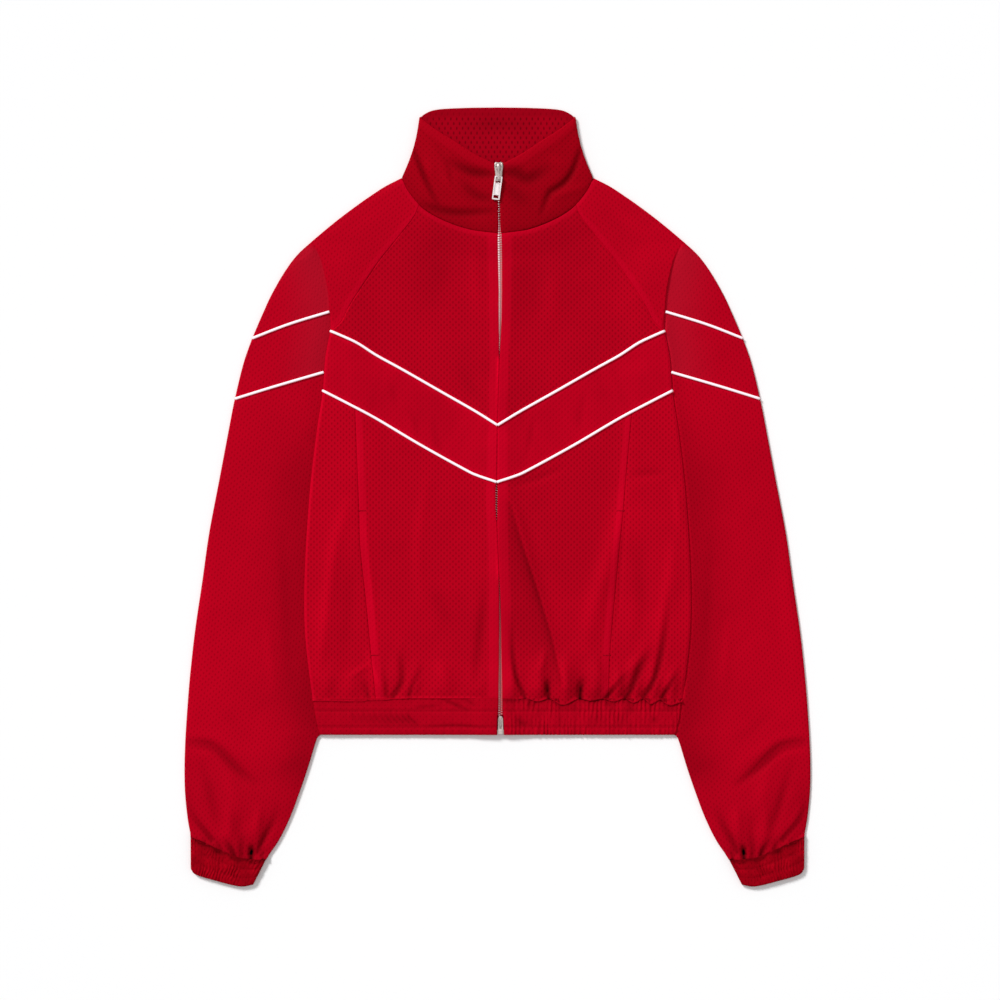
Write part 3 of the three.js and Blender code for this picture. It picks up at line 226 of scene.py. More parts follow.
# Cloth that bags over the waistband: centre, height, width, length
PUFFS = {
    "left": [[15, 3.2, 13, 46], [46, 5.2, 12, 58], [76, 5.6, 13, 62], [107, 5.2, 12, 60], [132, 4.2, 8, 48],
             [151, 4.4, 9, 50], [172, 4.0, 9, 46], [191, 3.2, 8, 40]],
    "right": [[22, 1.8, 18, 40], [60, 2.4, 18, 46], [98, 2.6, 14, 44], [128, 2.2, 13, 40], [160, 2.6, 14, 44],
              [188, 2.4, 11, 40]],
}
SLEEVE_FOLDS = [
    ([[338, -274], [316, -277], [300, -287], [284, -302], [266, -315]], -1.5, 7),
    ([[338, -262], [310, -266], [290, -280], [262, -300]], 1.0, 12),
    ([[318, -321], [311, -342], [304, -365]], -1.2, 9),
    ([[336, -341], [328, -356], [320, -370]], 1.4, 8),
    ([[281, -350], [282, -372]], -1.6, 10),
    ([[270, -380], [271, -392]], -1.8, 8),
    ([[262, -390], [254, -374], [247, -361]], -1.2, 7),
    ([[295, -340], [294, -378]], 2.0, 9),
    ([[262, -345], [264, -375]], 1.6, 9),
]
SLEEVE_RELIEF = [
    ("fold", [[340, -270], [323, -272], [309, -277], [295, -291], [280, -305], [266, -316]], -1.8, 8, 0.22),
    ("pit", [[264, -391], [257, -376], [248, -359], [242, -341], [250, -330]], -2.0, 6, 0.26),
    ("fold", [[324, -296], [314, -327], [307, -354], [303, -364]], -1.0, 8, 0.09),
    ("pit", [[314, -377], [332, -354], [341, -331], [342, -316]], -2.0, 7, 0.26),
    ("pit", [[280, -398], [281, -388], [280, -371], [286, -357]], -2.4, 7, 0.22),
    ("pit", [[288, -397], [291, -390], [298, -379], [303, -371]], -3.0, 5, 0.40),
    ("pit", [[271, -401], [271, -393], [271, -387], [272, -380]], -4.0, 5.5, 0.52),
    ("pit", [[259, -399], [258, -391], [254, -384]], -2.0, 4, 0.24),
    ("pit", [[271, -392], [270.5, -387], [272.5, -381]], -1.6, 4.2, 0.55),
    ("pit", [[303, -391], [306, -384], [312, -372]], -2.0, 4.5, 0.24),
    ("pit", [[322, -382], [325, -374]], -1.6, 4, 0.20),
    ("fold", [[312, -36], [320, -120], [326, -198]], 0.8, 14, -0.03),
    ("fold", [[300, -300], [290, -330], [284, -350]], 1.2, 12, -0.04),
    ("fold", [[255, -133], [247, -214]], 0.6, 8, -0.05),
    ("fold", [[236, -40], [232, -120], [228, -200]], -0.6, 10, 0.05),
    ("fold", [[262, -345], [268, -372]], 1.0, 8, -0.03),
    ("fold", [[300, -240], [276, -262], [262, -268]], -0.6, 12, 0.04),
]
SLEEVE_CROWN = 1.8
SLEEVE_PUFF = 2.2
COLLAR_RELIEF = {
    "right": [
        ("fold", [[96, 388], [91.4, 380], [82, 356], [72.4, 334.6], [65, 321]], -2.2, 4.5, 0.34),
        ("fold", [[86, 321], [56, 313.5], [32, 311.5], [2, 313]], -2.0, 7, 0.28),
        ("fold", [[50, 367], [27, 356], [0, 353]], -2.4, 8, 0.34),
        ("fold", [[66, 384], [53, 361], [48, 341], [22, 316]], -0.9, 5, 0.12),
        ("fold", [[38, 343], [22, 330], [4, 326]], -1.6, 9, 0.26),
        ("fold", [[62, 352], [42, 334], [26, 318]], 1.2, 8, -0.08),
        ("fold", [[78, 372], [70, 350]], 0.8, 7, -0.05),
    ],
    "left": [
        ("fold", [[-4, 358], [20, 354], [34, 349], [54, 359]], -2.6, 11, 0.40),
        ("fold", [[96, 388], [91.4, 380], [82, 356], [70, 341.7], [58, 334.6], [48, 312]], -3.0, 5.5, 0.38),
        ("fold", [[2, 342], [20, 330], [34, 320]], -1.4, 13, 0.22),
        ("fold", [[63, 329], [80, 336], [98, 342]], 1.0, 7, -0.05),
        ("fold", [[58, 372], [76, 362]], 0.8, 8, -0.05),
    ],
}
WAIST_GATHERS = {"left": 42, "right": 9}
WAIST_GATHER_HEIGHT = {"left": 0.72, "right": 0.34}
WAIST_STITCH_Y = [-235.4, -253]
CUFF_GATHERS = 21
CUFF_GATHER_HEIGHT = 0.5
# Rows of stitches, as shares of the cuff's height
CUFF_STITCH_SHARES = (0.3, 0.62)
# The grid of the cuff's front ends a little below the seam
CUFF_FRONT_SHARE = 0.985
# share across the cuff, how far the sleeve's lobes hang over it there
CUFF_LOBES = np.array([
    [0, 1], [0.08, 4.2], [0.16, 4.6], [0.22, 1.0], [0.235, 0.3], [0.25, 1.0], [0.33, 4.8], [0.42, 4.4],
    [0.49, 0.8], [0.56, 3.6], [0.64, 3.8], [0.70, 0.6], [0.78, 2.8], [0.88, 3.0], [0.95, 0.8], [1, 0.4],
])
# Degrees by which the sleeve's knit is turned against the body's
KNIT_TURN = 6.5
PIPING_RADIUS = 1.4
CHAIN_HIGH = 2.4
TAPE_HALF = 13
TAPE_THICK = 0.9
TOOTH_PITCH = 2.6
TOOTH_REACH = {"left": 2.3, "right": 1.9}
SLIDER = {"x": 1.3, "y": 356.6, "plate": 1.2, "web": 2.4, "bridge": 2.1}
PIVOT = {"y": -5.6, "z": 1.25}
TAB = {"width": 8.6, "length": 26, "rim": 1.5, "window_end": 7.5, "slot": [21, 24.2], "turn": -7.5, "drop": 4}
BOX = {"x": 3.3, "width": 8, "top": -241}
SIDES = [("left", 1), ("right", -1)]


# Lines and surfaces

def mix(a, b, t):
    return a + (b - a) * t


def ease(start, stop, t):
    s = np.clip((t - start) / (stop - start), 0, 1)
    return s * s * (3 - 2 * s)


def bell(t):
    return np.exp(-np.square(t))


class Line:
    """A smooth line through points, asked by its share of length."""

    def __init__(self, points):
        p = np.array(points, float)
        ends = np.vstack([2 * p[0] - p[1], p, 2 * p[-1] - p[-2]])
        t = np.linspace(0, 1, 80, endpoint=False)[:, None]
        stretches = []
        for a, b, c, d in zip(ends, ends[1:], ends[2:], ends[3:]):
            m0, m1 = (c - a) / 2, (d - b) / 2
            square, cube = -3 * b + 3 * c - 2 * m0 - m1, 2 * b - 2 * c + m0 + m1
            stretches.append(b + m0 * t + square * t**2 + cube * t**3)
        self.dense = np.vstack([*stretches, p[-1:]])
        steps = np.hypot(*np.diff(self.dense, axis=0).T)
        self.length = steps.sum()
        self.shares = np.concatenate([[0], np.cumsum(steps)]) / self.length

    def __call__(self, t):
        t = np.clip(t, 0, 1)
        return np.interp(t, self.shares, self.dense[:, 0]), np.interp(t, self.shares, self.dense[:, 1])

    def share_at(self, axis, value):
        values = self.dense[:, axis]
        order = 1 if values[-1] > values[0] else -1
        return float(np.interp(value, values[::order], self.shares[::order]))


def part(line, start, stop):
    return lambda t: line(mix(start, stop, t))


def straight(a, b):
    return lambda t: (mix(a[0], b[0], t), mix(a[1], b[1], t))


def column(table, index):
    rows = sorted(table)
    return lambda at: np.interp(at, [r[0] for r in rows], [r[index] for r in rows])


def edge_at(*lines):
    """x of an edge as a function of y."""
    rows = np.vstack([line.dense for line in lines])
    rows = rows[np.argsort(rows[:, 1])]
    return lambda y: np.interp(y, rows[:, 1], rows[:, 0])


def between(bottom, top, inner, outer):
    """The surface between four edges that meet at its corners."""
    corners = [bottom(0.0), bottom(1.0), top(0.0), top(1.0)]

    def place(u, v):
        lines = [bottom(u), top(u), inner(v), outer(v)]
        spot = []
        for k in (0, 1):
            low, high, near, far = (line[k] for line in lines)
            c = [corner[k] for corner in corners]
            across = mix(mix(c[0], c[1], u), mix(c[2], c[3], u), v)
            spot.append(mix(low, high, v) + mix(near, far, u) - across)
        return spot[0], spot[1]

    return place


NECK = Line(NECK_FRONT)
NECK_B = Line(NECK_BACK)
RAGLAN_F = Line(RAGLAN)
RAGLAN_B = Line(RAGLAN_BACK)
SHOULDER_LINE = Line(SHOULDER)
OUTER_LINE = Line(SLEEVE_OUTER)
PLEAT_LINE = Line(PLEAT)
SIDE_LINE = Line(BODY_SIDE)
BAND_SIDE_LINE = Line(BAND_SIDE)
UPPER = Line(PIPING_UPPER)
LOWER = Line(PIPING_LOWER)
CUFF_SEAM_LINE = Line(CUFF_SEAM)
SLEEVE_UPPER = Line(SLEEVE_PIPING_UPPER)
SLEEVE_LOWER = Line(SLEEVE_PIPING_LOWER)
zip_x = column(ZIP, 1)
zip_gap = column(ZIP, 2)
tuck_at = column(SIDE, 1)
lift = column(SIDE, 2)
rise = column(SIDE, 3)
fold_edge = edge_at(PLEAT_LINE, SIDE_LINE, BAND_SIDE_LINE)
sleeve_outer = edge_at(SHOULDER_LINE, OUTER_LINE)
sleeve_free = edge_at(Line(SLEEVE_FREE_EDGE))


def tuck(y):
    """The sleeve reaches at least a little under the body's edge, so that no gap shows beside it."""
    return np.maximum(tuck_at(y), 1.4)


def sleeve_inner(y):
    return np.where(y > HEM_Y - 1, fold_edge(y) - tuck(y), sleeve_free(y))


# Heights of the cloth

random_grid = np.random.default_rng(11).random((97, 97)) * 2 - 1


def noise(x, y, size, shift):
    """Smooth noise from -1 to 1 with bumps of that size."""
    gx, gy = np.asarray(x) / size + 31.7 + shift, np.asarray(y) / size + 17.3 + 2 * shift
    ix, iy = np.floor(gx).astype(int), np.floor(gy).astype(int)
    fx, fy = ease(0, 1, gx - ix), ease(0, 1, gy - iy)
    corner = lambda dx, dy: random_grid[(ix + dx) % 97, (iy + dy) % 97]
    return mix(mix(corner(0, 0), corner(1, 0), fx), mix(corner(0, 1), corner(1, 1), fx), fy)


def nearest_on(line, x, y):
    """Distance to a line of points, the share along it and the side of it that a place is on."""
    nearest = np.full(np.broadcast(x, y).shape, np.inf)
    along, side = np.zeros(nearest.shape), np.zeros(nearest.shape)
    last = len(line) - 1
    for i in range(last):
        (x0, y0), (x1, y1) = line[i], line[i + 1]
        t = ((x - x0) * (x1 - x0) + (y - y0) * (y1 - y0)) / ((x1 - x0) ** 2 + (y1 - y0) ** 2)
        t = np.clip(t, 0, 1)
        away = np.hypot(x - mix(x0, x1, t), y - mix(y0, y1, t))
        closer = away < nearest
        nearest = np.where(closer, away, nearest)
        along = np.where(closer, (i + t) / last, along)
        side = np.where(closer, (x1 - x0) * (y - y0) - (y1 - y0) * (x - x0), side)
    return nearest, along, side


def fold_height(folds, x, y):
    height = np.zeros(np.broadcast(x, y).shape)
    for line, high, wide in folds:
        nearest, along, _ = nearest_on(line, x, y)
        height += high * np.sin(np.pi * mix(0.12, 0.88, along)) * bell(nearest / (0.6 * wide))
    return height


def relief(table, x, y):
    """Height of the fine folds, with the painted shade they put in hollows and the painted light on ridges.
    """
    height = np.zeros(np.broadcast(x, y).shape)
    shade = np.zeros(height.shape)
    for kind, line, high, wide, painted_shade in table:
        smooth = Line(line)
        nearest, along, side = nearest_on(list(zip(*smooth(np.linspace(0, 1, 12)))), x, y)
        if kind == "fold":
            form = np.sin(np.pi * mix(0.1, 0.9, along)) * bell(nearest / (0.65 * wide))
        elif kind == "pit":
            form = (1 - ease(0.1, 1, along)) * bell(nearest / (0.55 * wide * mix(0.75, 1.7, along)))
        else:
            inner_side = 0.45 * np.exp(-nearest / 3) + 0.6 * np.exp(-nearest / (0.6 * wide))
            fade = np.where(side < 0, inner_side, 1.05 * np.exp(-np.square(nearest / 1.3)))
            form = np.sin(np.pi * mix(0.15, 0.85, along)) * fade
        height += high * form
        shade += painted_shade * form
    return height, shade


def puff_height(puffs, x, up):
    height = np.zeros(np.broadcast(x, up).shape)
    for centre, high, wide, long in puffs:
        along = np.where(up < 12, ease(-4, 12, up), 1 - ease(12, long, up))
        height += high * bell((x - centre) / (0.75 * wide)) * along
    return height


def neck_mound(x, y):
    ring = np.hypot(x / 105.5, (y - 352) / 62.5)
    front = np.clip((352 - y) / 62.5 / np.maximum(ring, 0.01), 0, 1)
    return 3.2 * ease(1.5, 1, ring) * front


def front_top(side, x, y):
    inside = fold_edge(y) - x
    rest = TWO_LAYERS + 0.5 + 0.6 * np.clip(inside / 120, 0, 1)
    sides = (FRONT_OVER_SLEEVE - rest) * lift(y) * ease(58, 20, inside - np.maximum(tuck(y), 0))
    over_zip = 2.5 * bell(x / 24)
    folds = fold_height(FRONT_FOLDS[side], x, y) * ease(0, 10, inside)
    puffs = np.where(y < 0, puff_height(PUFFS[side], x, y - WAIST_Y) * ease(0, 8, inside), 0)
    return rest + sides + over_zip + folds + puffs + neck_mound(x, y)


def side_rim(side, x, y):
    edge_top = mix(TWO_LAYERS + 0.4, EDGE_TOP, np.where(y > 0, 1, rise(y)))
    return mix(edge_top, front_top(side, x, y), ease(0, 3, fold_edge(y) - x))


def body_top(side, x, y):
    """Upper face of the fronts with the small creases and waves that the solids leave out."""
    inside = ease(0, 14, fold_edge(y) - x)
    near_waist = ease(-120, -215, y)
    shift = 0 if side == "left" else 5.3
    waves = (0.34 * noise(x, y, 46, shift) + 0.14 * noise(x, y, 15, shift)
             + 0.10 * near_waist * noise(x, y, 6, shift))
    fine = relief(BODY_RELIEF[side], x, y)[0]
    top = side_rim(side, x, y) + 1.15 * fine * ease(0, 5, fold_edge(y) - x) + waves * inside
    return np.maximum(top, TWO_LAYERS + 0.3)


def body_shade(side, x, y):
    # Painted shade in the fine folds' hollows and painted light on their ridges, with random patches of tone.
    hollow_shade = relief(BODY_RELIEF[side], x, y)[1]
    patches = 0.05 * noise(x, y, 60, 21.0 if side == "left" else 25.0) + 0.02 * noise(x, y, 18, 23.0)
    return 1.6 * hollow_shade + patches


def sleeve_share(x, y):
    """Share of the way from the sleeve's inner edge to its outer one."""
    start = np.where(y > HEM_Y, fold_edge(y), sleeve_free(y))
    return np.clip((x - start) / (sleeve_outer(y) - start), 0, 1)


def sleeve_top(x, y):
    share = sleeve_share(x, y)
    crown = SLEEVE_CROWN * 4 * share * (1 - share)
    over_cuff = (SLEEVE_PUFF * ease(-290, -350, y) * ease(-399, -380, y + 0.32 * (300 - x))
                 * np.sin(np.pi * share))
    near_edges = ease(0, 0.12, share) * ease(1, 0.92, share)
    folds = np.where(y < -240, fold_height(SLEEVE_FOLDS, x, y) * near_edges, 0)
    return np.maximum(TWO_LAYERS, TWO_LAYERS + crown + over_cuff + folds)


def sleeve_fine(x, y):
    """Height of the sleeve's small creases and waves that the solids leave out."""
    share = sleeve_share(x, y)
    inside = ease(0, 0.08, share) * ease(1, 0.95, share)
    waves = 0.42 * noise(x, y, 44, 3.1) + 0.16 * noise(x, y, 14, 3.1)
    fine = relief(SLEEVE_RELIEF, x, y)[0]
    return (waves * inside * mix(1, 1.7, ease(-230, -330, y))
            + fine * ease(0, 0.05, share) * ease(1, 0.96, share))


def past_pleat(x, y):
    """Distance outwards from the pleat, or from the body's edge below it."""
    return x - fold_edge(np.minimum(y, PLEATED_BELOW_Y))


def cap_top(side, x, y):
    step = np.where(y > PLEATED_BELOW_Y, 0, ease(-1.2, 2, past_pleat(x, y)))
    outer = sleeve_outer(y) - x
    level = mix(front_top(side, x, y), sleeve_top(x, y), step)
    return mix(TWO_LAYERS, level, ease(-1, np.where(y > 262, 16, 4), outer))


def collar_top(share, up):
    x, y = NECK(share)
    seam = front_top("left", x, y) + 0.4
    stand = TWO_RIBS + 0.6 + 8.4 * (1 - share**2.2) * mix(0.8, 1, up)
    return mix(seam, stand, ease(-0.1, 0.55, up))


def zip_middle(y):
    y = np.asarray(y, float)
    under = front_top("right", 0.0, np.maximum(y, WAIST_Y)) - CLOTH
    under = np.where(y > 289, collar_top(0.0, (y - NECK_Y) / 74.5) - RIB, under)
    under = np.where(y < WAIST_Y, TWO_RIBS + 3.3 - RIB, under)
    return under - LAY - CHAIN_HIGH / 2 - 0.2


# Materials

def node(tree, kind, inputs=(), **settings):
    made = tree.nodes.new(kind)
    for key, value in settings.items():
        setattr(made, key, value)
    for key, value in dict(inputs).items():
        if isinstance(value, bpy.types.NodeSocket):
            tree.links.new(value, made.inputs[key])
        else:
            made.inputs[key].default_value = value
    return made


def maths(tree, operation, *values):
    return node(tree, "ShaderNodeMath", dict(enumerate(values)), operation=operation).outputs[0]


def vectors(tree, operation, *values, out=0):
    return node(tree, "ShaderNodeVectorMath", dict(enumerate(values)), operation=operation).outputs[out]


def vector_of(tree, x, y, z):
    return node(tree, "ShaderNodeCombineXYZ", {"X": x, "Y": y, "Z": z}).outputs[0]


def blend(tree, factor, first, second):
    """A colour between two, each given as a value or as a socket."""
    return node(tree, "ShaderNodeMix", {0: factor, 6: first, 7: second}, data_type="RGBA").outputs[2]


def node_group(name, kind, inputs, outputs):
    group = bpy.data.node_groups.new(name, kind)
    for label, socket, default in inputs:
        made = group.interface.new_socket(label, in_out="INPUT", socket_type=socket)
        if default is not None:
            made.default_value = default
    for label, socket in outputs:
        group.interface.new_socket(label, in_out="OUTPUT", socket_type=socket)
    return group, group.nodes.new("NodeGroupInput").outputs, group.nodes.new("NodeGroupOutput").inputs


def make_knit_mesh():
    """Staggered closed holes of the knit, from the piece's UV map in metres, with fine yarn between them."""
    group, given, result = node_group(
        "knit_mesh", "ShaderNodeTree",
        [("Place", "NodeSocketVector", None), ("Across", "NodeSocketFloat", 0.0056),
         ("Along", "NodeSocketFloat", 0.0062), ("Hole Width", "NodeSocketFloat", 0.0017),
         ("Hole Length", "NodeSocketFloat", 0.0027), ("Unevenness", "NodeSocketFloat", 0.0005)],
        [("Holes", "NodeSocketFloat"), ("Height", "NodeSocketFloat")])
    drift = node(group, "ShaderNodeTexNoise", {"Vector": given["Place"], "Scale": 90.0, "Detail": 1.0})
    centred = vectors(group, "SUBTRACT", drift.outputs["Color"], (0.5, 0.5, 0.5))
    moved = node(group, "ShaderNodeVectorMath", {0: centred, "Scale": given["Unevenness"]}, operation="SCALE")
    place = vectors(group, "ADD", given["Place"], moved.outputs[0])
    cell = vector_of(group, given["Across"], given["Along"], 1.0)
    hole = vector_of(group, given["Hole Width"], given["Hole Length"], 1.0)
    lattice = vectors(group, "DIVIDE", place, cell)
    masks = []
    for shift in ((0.0, 0.0, 0.0), (0.5, 0.5, 0.0)):
        inside = vectors(group, "FRACTION", vectors(group, "ADD", lattice, shift))
        offset = vectors(group, "MULTIPLY", vectors(group, "SUBTRACT", inside, (0.5, 0.5, 0.0)), cell)
        flat = vectors(group, "MULTIPLY", vectors(group, "DIVIDE", offset, hole), (2.0, 2.0, 0.0))
        away = vectors(group, "LENGTH", flat, out=1)
        mask = node(group, "ShaderNodeMapRange", {"Value": away, 1: 0.35, 2: 1.2, 3: 1.0, 4: 0.0},
                    interpolation_type="SMOOTHSTEP").outputs[0]
        masks.append(mask)
    holes = maths(group, "MAXIMUM", *masks)
    yarn = node(group, "ShaderNodeTexNoise", {"Vector": place, "Scale": 1500.0, "Detail": 2.0}).outputs["Fac"]
    group.links.new(holes, result["Holes"])
    depth = maths(group, "MULTIPLY_ADD", yarn, 0.35, maths(group, "SUBTRACT", 1.0, holes))
    group.links.new(depth, result["Height"])
    return group


def make_cloth_colour():
    """Cloth colour: darker in holes, plain where the cloth lies double, slightly uneven, with painted shade
    and light from Shade and a painted sheen from Haze.
    """
    group, given, result = node_group(
        "cloth_colour", "ShaderNodeTree",
        [("Place", "NodeSocketVector", None), ("Cloth", "NodeSocketColor", (0.4, 0, 0.01, 1)),
         ("Hole", "NodeSocketColor", (0.2, 0, 0.005, 1)), ("Double", "NodeSocketColor", (0.45, 0, 0.012, 1)),
         ("Lint", "NodeSocketColor", (0.413, 0.0046, 0.018, 1)), ("Holes", "NodeSocketFloat", 0.0),
         ("Doubled", "NodeSocketFloat", 0.0), ("Shade", "NodeSocketFloat", 0.0),
         ("Haze", "NodeSocketFloat", 0.0), ("Patchiness", "NodeSocketFloat", 0.06)],
        [("Colour", "NodeSocketColor"), ("Open", "NodeSocketFloat")])
    plain = maths(group, "SUBTRACT", 1.0, maths(group, "MULTIPLY", given["Doubled"], 0.85))
    shown = maths(group, "MULTIPLY", given["Holes"], plain)
    base = blend(group, given["Doubled"], given["Cloth"], given["Double"])
    pierced = blend(group, shown, base, given["Hole"])
    painted_sheen = blend(group, given["Haze"], pierced, given["Lint"])
    patches = node(group, "ShaderNodeTexNoise", {"Vector": given["Place"], "Scale": 22.0, "Detail": 3.0})
    centred = maths(group, "SUBTRACT", patches.outputs["Fac"], 0.5)
    uneven = maths(group, "MULTIPLY", maths(group, "MULTIPLY", centred, given["Patchiness"]), 2.0)
    light = maths(group, "ADD", maths(group, "SUBTRACT", 1.0, given["Shade"]), uneven)
    final = node(group, "ShaderNodeVectorMath", {0: painted_sheen, "Scale": light}, operation="SCALE")
    group.links.new(final.outputs[0], result["Colour"])
    group.links.new(shown, result["Open"])
    return group


KNIT_MESH = make_knit_mesh()
CLOTH_COLOUR = make_cloth_colour()


def linear(r, g, b):
    """A colour given as in a paint program, for a shader socket."""
    def one(value):
        value /= 255
        return value / 12.92 if value <= 0.04045 else ((value + 0.055) / 1.055) ** 2.4
    return (one(r), one(g), one(b), 1.0)


def set_values(target, values):
    for key, value in values.items():
        target.inputs[key].default_value = value


def new_material(name, values):
    """A material whose shader has these values on its own sockets."""
    material = bpy.data.materials.new(name)
    material.use_nodes = True
    tree = material.node_tree
    shader = tree.nodes["Principled BSDF"]
    set_values(shader, values)
    return material, tree, shader


def bumped(tree, shader, height, strength, distance):
    bump = node(tree, "ShaderNodeBump", {"Strength": strength, "Distance": distance, "Height": height})
    tree.links.new(bump.outputs[0], shader.inputs["Normal"])


def knit_material(name, cloth, hole, double, across=0.0065, along=0.0062, hole_size=(0.0022, 0.0034)):
    material, tree, shader = new_material(name, {"Roughness": 0.62, "Specular IOR Level": 0.012})
    uv = node(tree, "ShaderNodeUVMap", uv_map="cloth").outputs[0]
    mesh = node(tree, "ShaderNodeGroup", node_tree=KNIT_MESH)
    tree.links.new(uv, mesh.inputs["Place"])
    wide, long = hole_size
    set_values(mesh, {"Across": across, "Along": along, "Hole Width": wide, "Hole Length": long})
    colour = node(tree, "ShaderNodeGroup", node_tree=CLOTH_COLOUR)
    set_values(colour, {"Cloth": linear(*cloth), "Hole": linear(*hole), "Double": linear(*double)})
    tree.links.new(uv, colour.inputs["Place"])
    tree.links.new(mesh.outputs["Holes"], colour.inputs["Holes"])
    for key in ("Doubled", "Shade", "Haze"):
        stored = node(tree, "ShaderNodeAttribute", attribute_name=key.lower())
        tree.links.new(stored.outputs["Fac"], colour.inputs[key])
    tree.links.new(colour.outputs["Colour"], shader.inputs["Base Color"])
    bumped(tree, shader, mesh.outputs["Height"], 0.55, 0.35 * MM)
    return material


def satin_material():
    """White satin piping with fine threads across it and a slight glow, which is painted light that lifts its
    shaded side.
    """
    material, tree, shader = new_material("white_satin", {
        "Roughness": 0.42, "Emission Color": linear(255, 226, 236), "Emission Strength": 0.22})
    uv = node(tree, "ShaderNodeUVMap", uv_map="cloth").outputs[0]
    wave = {"Vector": uv, "Scale": 260.0, "Distortion": 0.4}
    threads = node(tree, "ShaderNodeTexWave", wave, bands_direction="X").outputs["Fac"]
    tone = blend(tree, threads, linear(252, 224, 234), linear(255, 244, 249))
    tree.links.new(tone, shader.inputs["Base Color"])
    bumped(tree, shader, threads, 0.4, 0.0002)
    return material


def grained(tree, shader, colour, darkest, scale, detail):
    """Lets the colour wander down to that share of itself with a fine noise, and gives the noise back."""
    place = node(tree, "ShaderNodeTexCoord").outputs["Object"]
    noise_inputs = {"Vector": place, "Scale": scale, "Detail": detail}
    grain = node(tree, "ShaderNodeTexNoise", noise_inputs).outputs["Fac"]
    tone = blend(tree, grain, linear(*[darkest * c for c in colour]), linear(*colour))
    tree.links.new(tone, shader.inputs["Base Color"])
    return grain


def metal_material(name, colour, roughness, metallic, painted_glow=0.0):
    """Worn metal. The glow is painted light that lifts teeth lying in the shade of the slit between the
    fronts.
    """
    material, tree, shader = new_material(name, {
        "Emission Color": linear(*colour), "Emission Strength": painted_glow, "Metallic": metallic})
    worn = grained(tree, shader, colour, 0.88, 700.0, 3.0)
    rough = node(tree, "ShaderNodeMapRange", {"Value": worn, 3: roughness - 0.06, 4: roughness + 0.1})
    tree.links.new(rough.outputs[0], shader.inputs["Roughness"])
    return material


def thread_material(name, colour):
    material, tree, shader = new_material(name, {"Roughness": 0.6, "Specular IOR Level": 0.05})
    grained(tree, shader, colour, 0.8, 2200.0, 1.0)
    return material


MATERIAL = {
    "body": knit_material("body_knit", (177, 0, 26), (150, 0, 21), (186, 0, 30)),
    "chevron": knit_material("chevron_knit", (181, 0, 28), (169, 0, 25), (188, 0, 31)),
    "sleeve": knit_material("sleeve_knit", (180, 0, 27), (160, 0, 23), (186, 0, 30),
                            hole_size=(0.0019, 0.0031)),
    # Darker knit than the body's: painted shade, as the standing collar gets less light.
    "collar": knit_material("collar_knit", (158, 0, 19), (138, 0, 15), (166, 0, 22),
                            hole_size=(0.0019, 0.0027)),
    "neck_inside": knit_material("neck_inside_knit", (164, 0, 23), (120, 0, 15), (154, 0, 21), across=0.0064,
                                 along=0.0104, hole_size=(0.0022, 0.0044)),
    "band": knit_material("band_knit", (171, 0, 25), (152, 0, 21), (173, 0, 26), hole_size=(0.0014, 0.0022)),
    "cuff": knit_material("cuff_knit", (151, 0, 18), (132, 0, 15), (154, 0, 19), hole_size=(0.0014, 0.0022)),
    "piping": satin_material(),
    "tape": thread_material("zip_tape_weave", (190, 8, 36)),
    # The teeth use copies of one metal with painted light: a painted glow of differing strength, and a darker
    # copy for painted shade on the right lower teeth.
    "teeth_left_upper": metal_material("painted_bright_teeth_metal", (255, 240, 242), 0.35, 0.0, painted_glow=1.4),
    "teeth_right_upper": metal_material("painted_glow_teeth_metal", (250, 220, 220), 0.35, 0.0, painted_glow=0.25),
    "teeth_left_lower": metal_material("painted_glow_lower_teeth_metal", (245, 205, 208), 0.35, 0.0, painted_glow=0.3),
    "teeth_right_lower": metal_material("painted_shade_teeth_metal", (225, 180, 180), 0.35, 0.1, painted_glow=0.12),
    "slider": metal_material("slider_metal", (250, 238, 234), 0.28, 0.6),
    # A darker copy of the slider metal: painted shade for the dimmer reflection of the flat plates and of the
    # box's ring.
    "slider_plate": metal_material("painted_shade_slider_metal", (206, 192, 186), 0.34, 0.8),
    "tab": metal_material("pull_tab_metal", (252, 240, 240), 0.3, 0.6),
    "tab_panel": metal_material("pull_tab_panel_metal", (204, 212, 209), 0.45, 0.25),
    "thread": thread_material("red_thread", (178, 0, 28)),
}


# Mesh building

def in_scene(name, data):
    made = bpy.data.objects.new(name, data)
    bpy.context.scene.collection.objects.link(made)
    return made


def evaluated_mesh(source):
    graph = bpy.context.evaluated_depsgraph_get()
    return bpy.data.meshes.new_from_object(source.evaluated_get(graph))


def mesh_object(name, points, faces, material, uv=None, attributes=None, smooth=True):
    mesh = bpy.data.meshes.new(name)
    mesh.from_pydata(np.asarray(points, float) * MM, [], faces)
    mesh.materials.append(material)
    if uv is not None:
        layer = mesh.uv_layers.new(name="cloth")
        corners = np.zeros(len(mesh.loops), int)
        mesh.loops.foreach_get("vertex_index", corners)
        layer.data.foreach_set("uv", (np.asarray(uv, float)[corners] * MM).ravel())
    for key, values in (attributes or {}).items():
        mesh.attributes.new(key, "FLOAT", "POINT").data.foreach_set("value", np.asarray(values, np.float32))
    mesh.polygons.foreach_set("use_smooth", [smooth] * len(mesh.polygons))
    mesh.update()
    return in_scene(name, mesh)


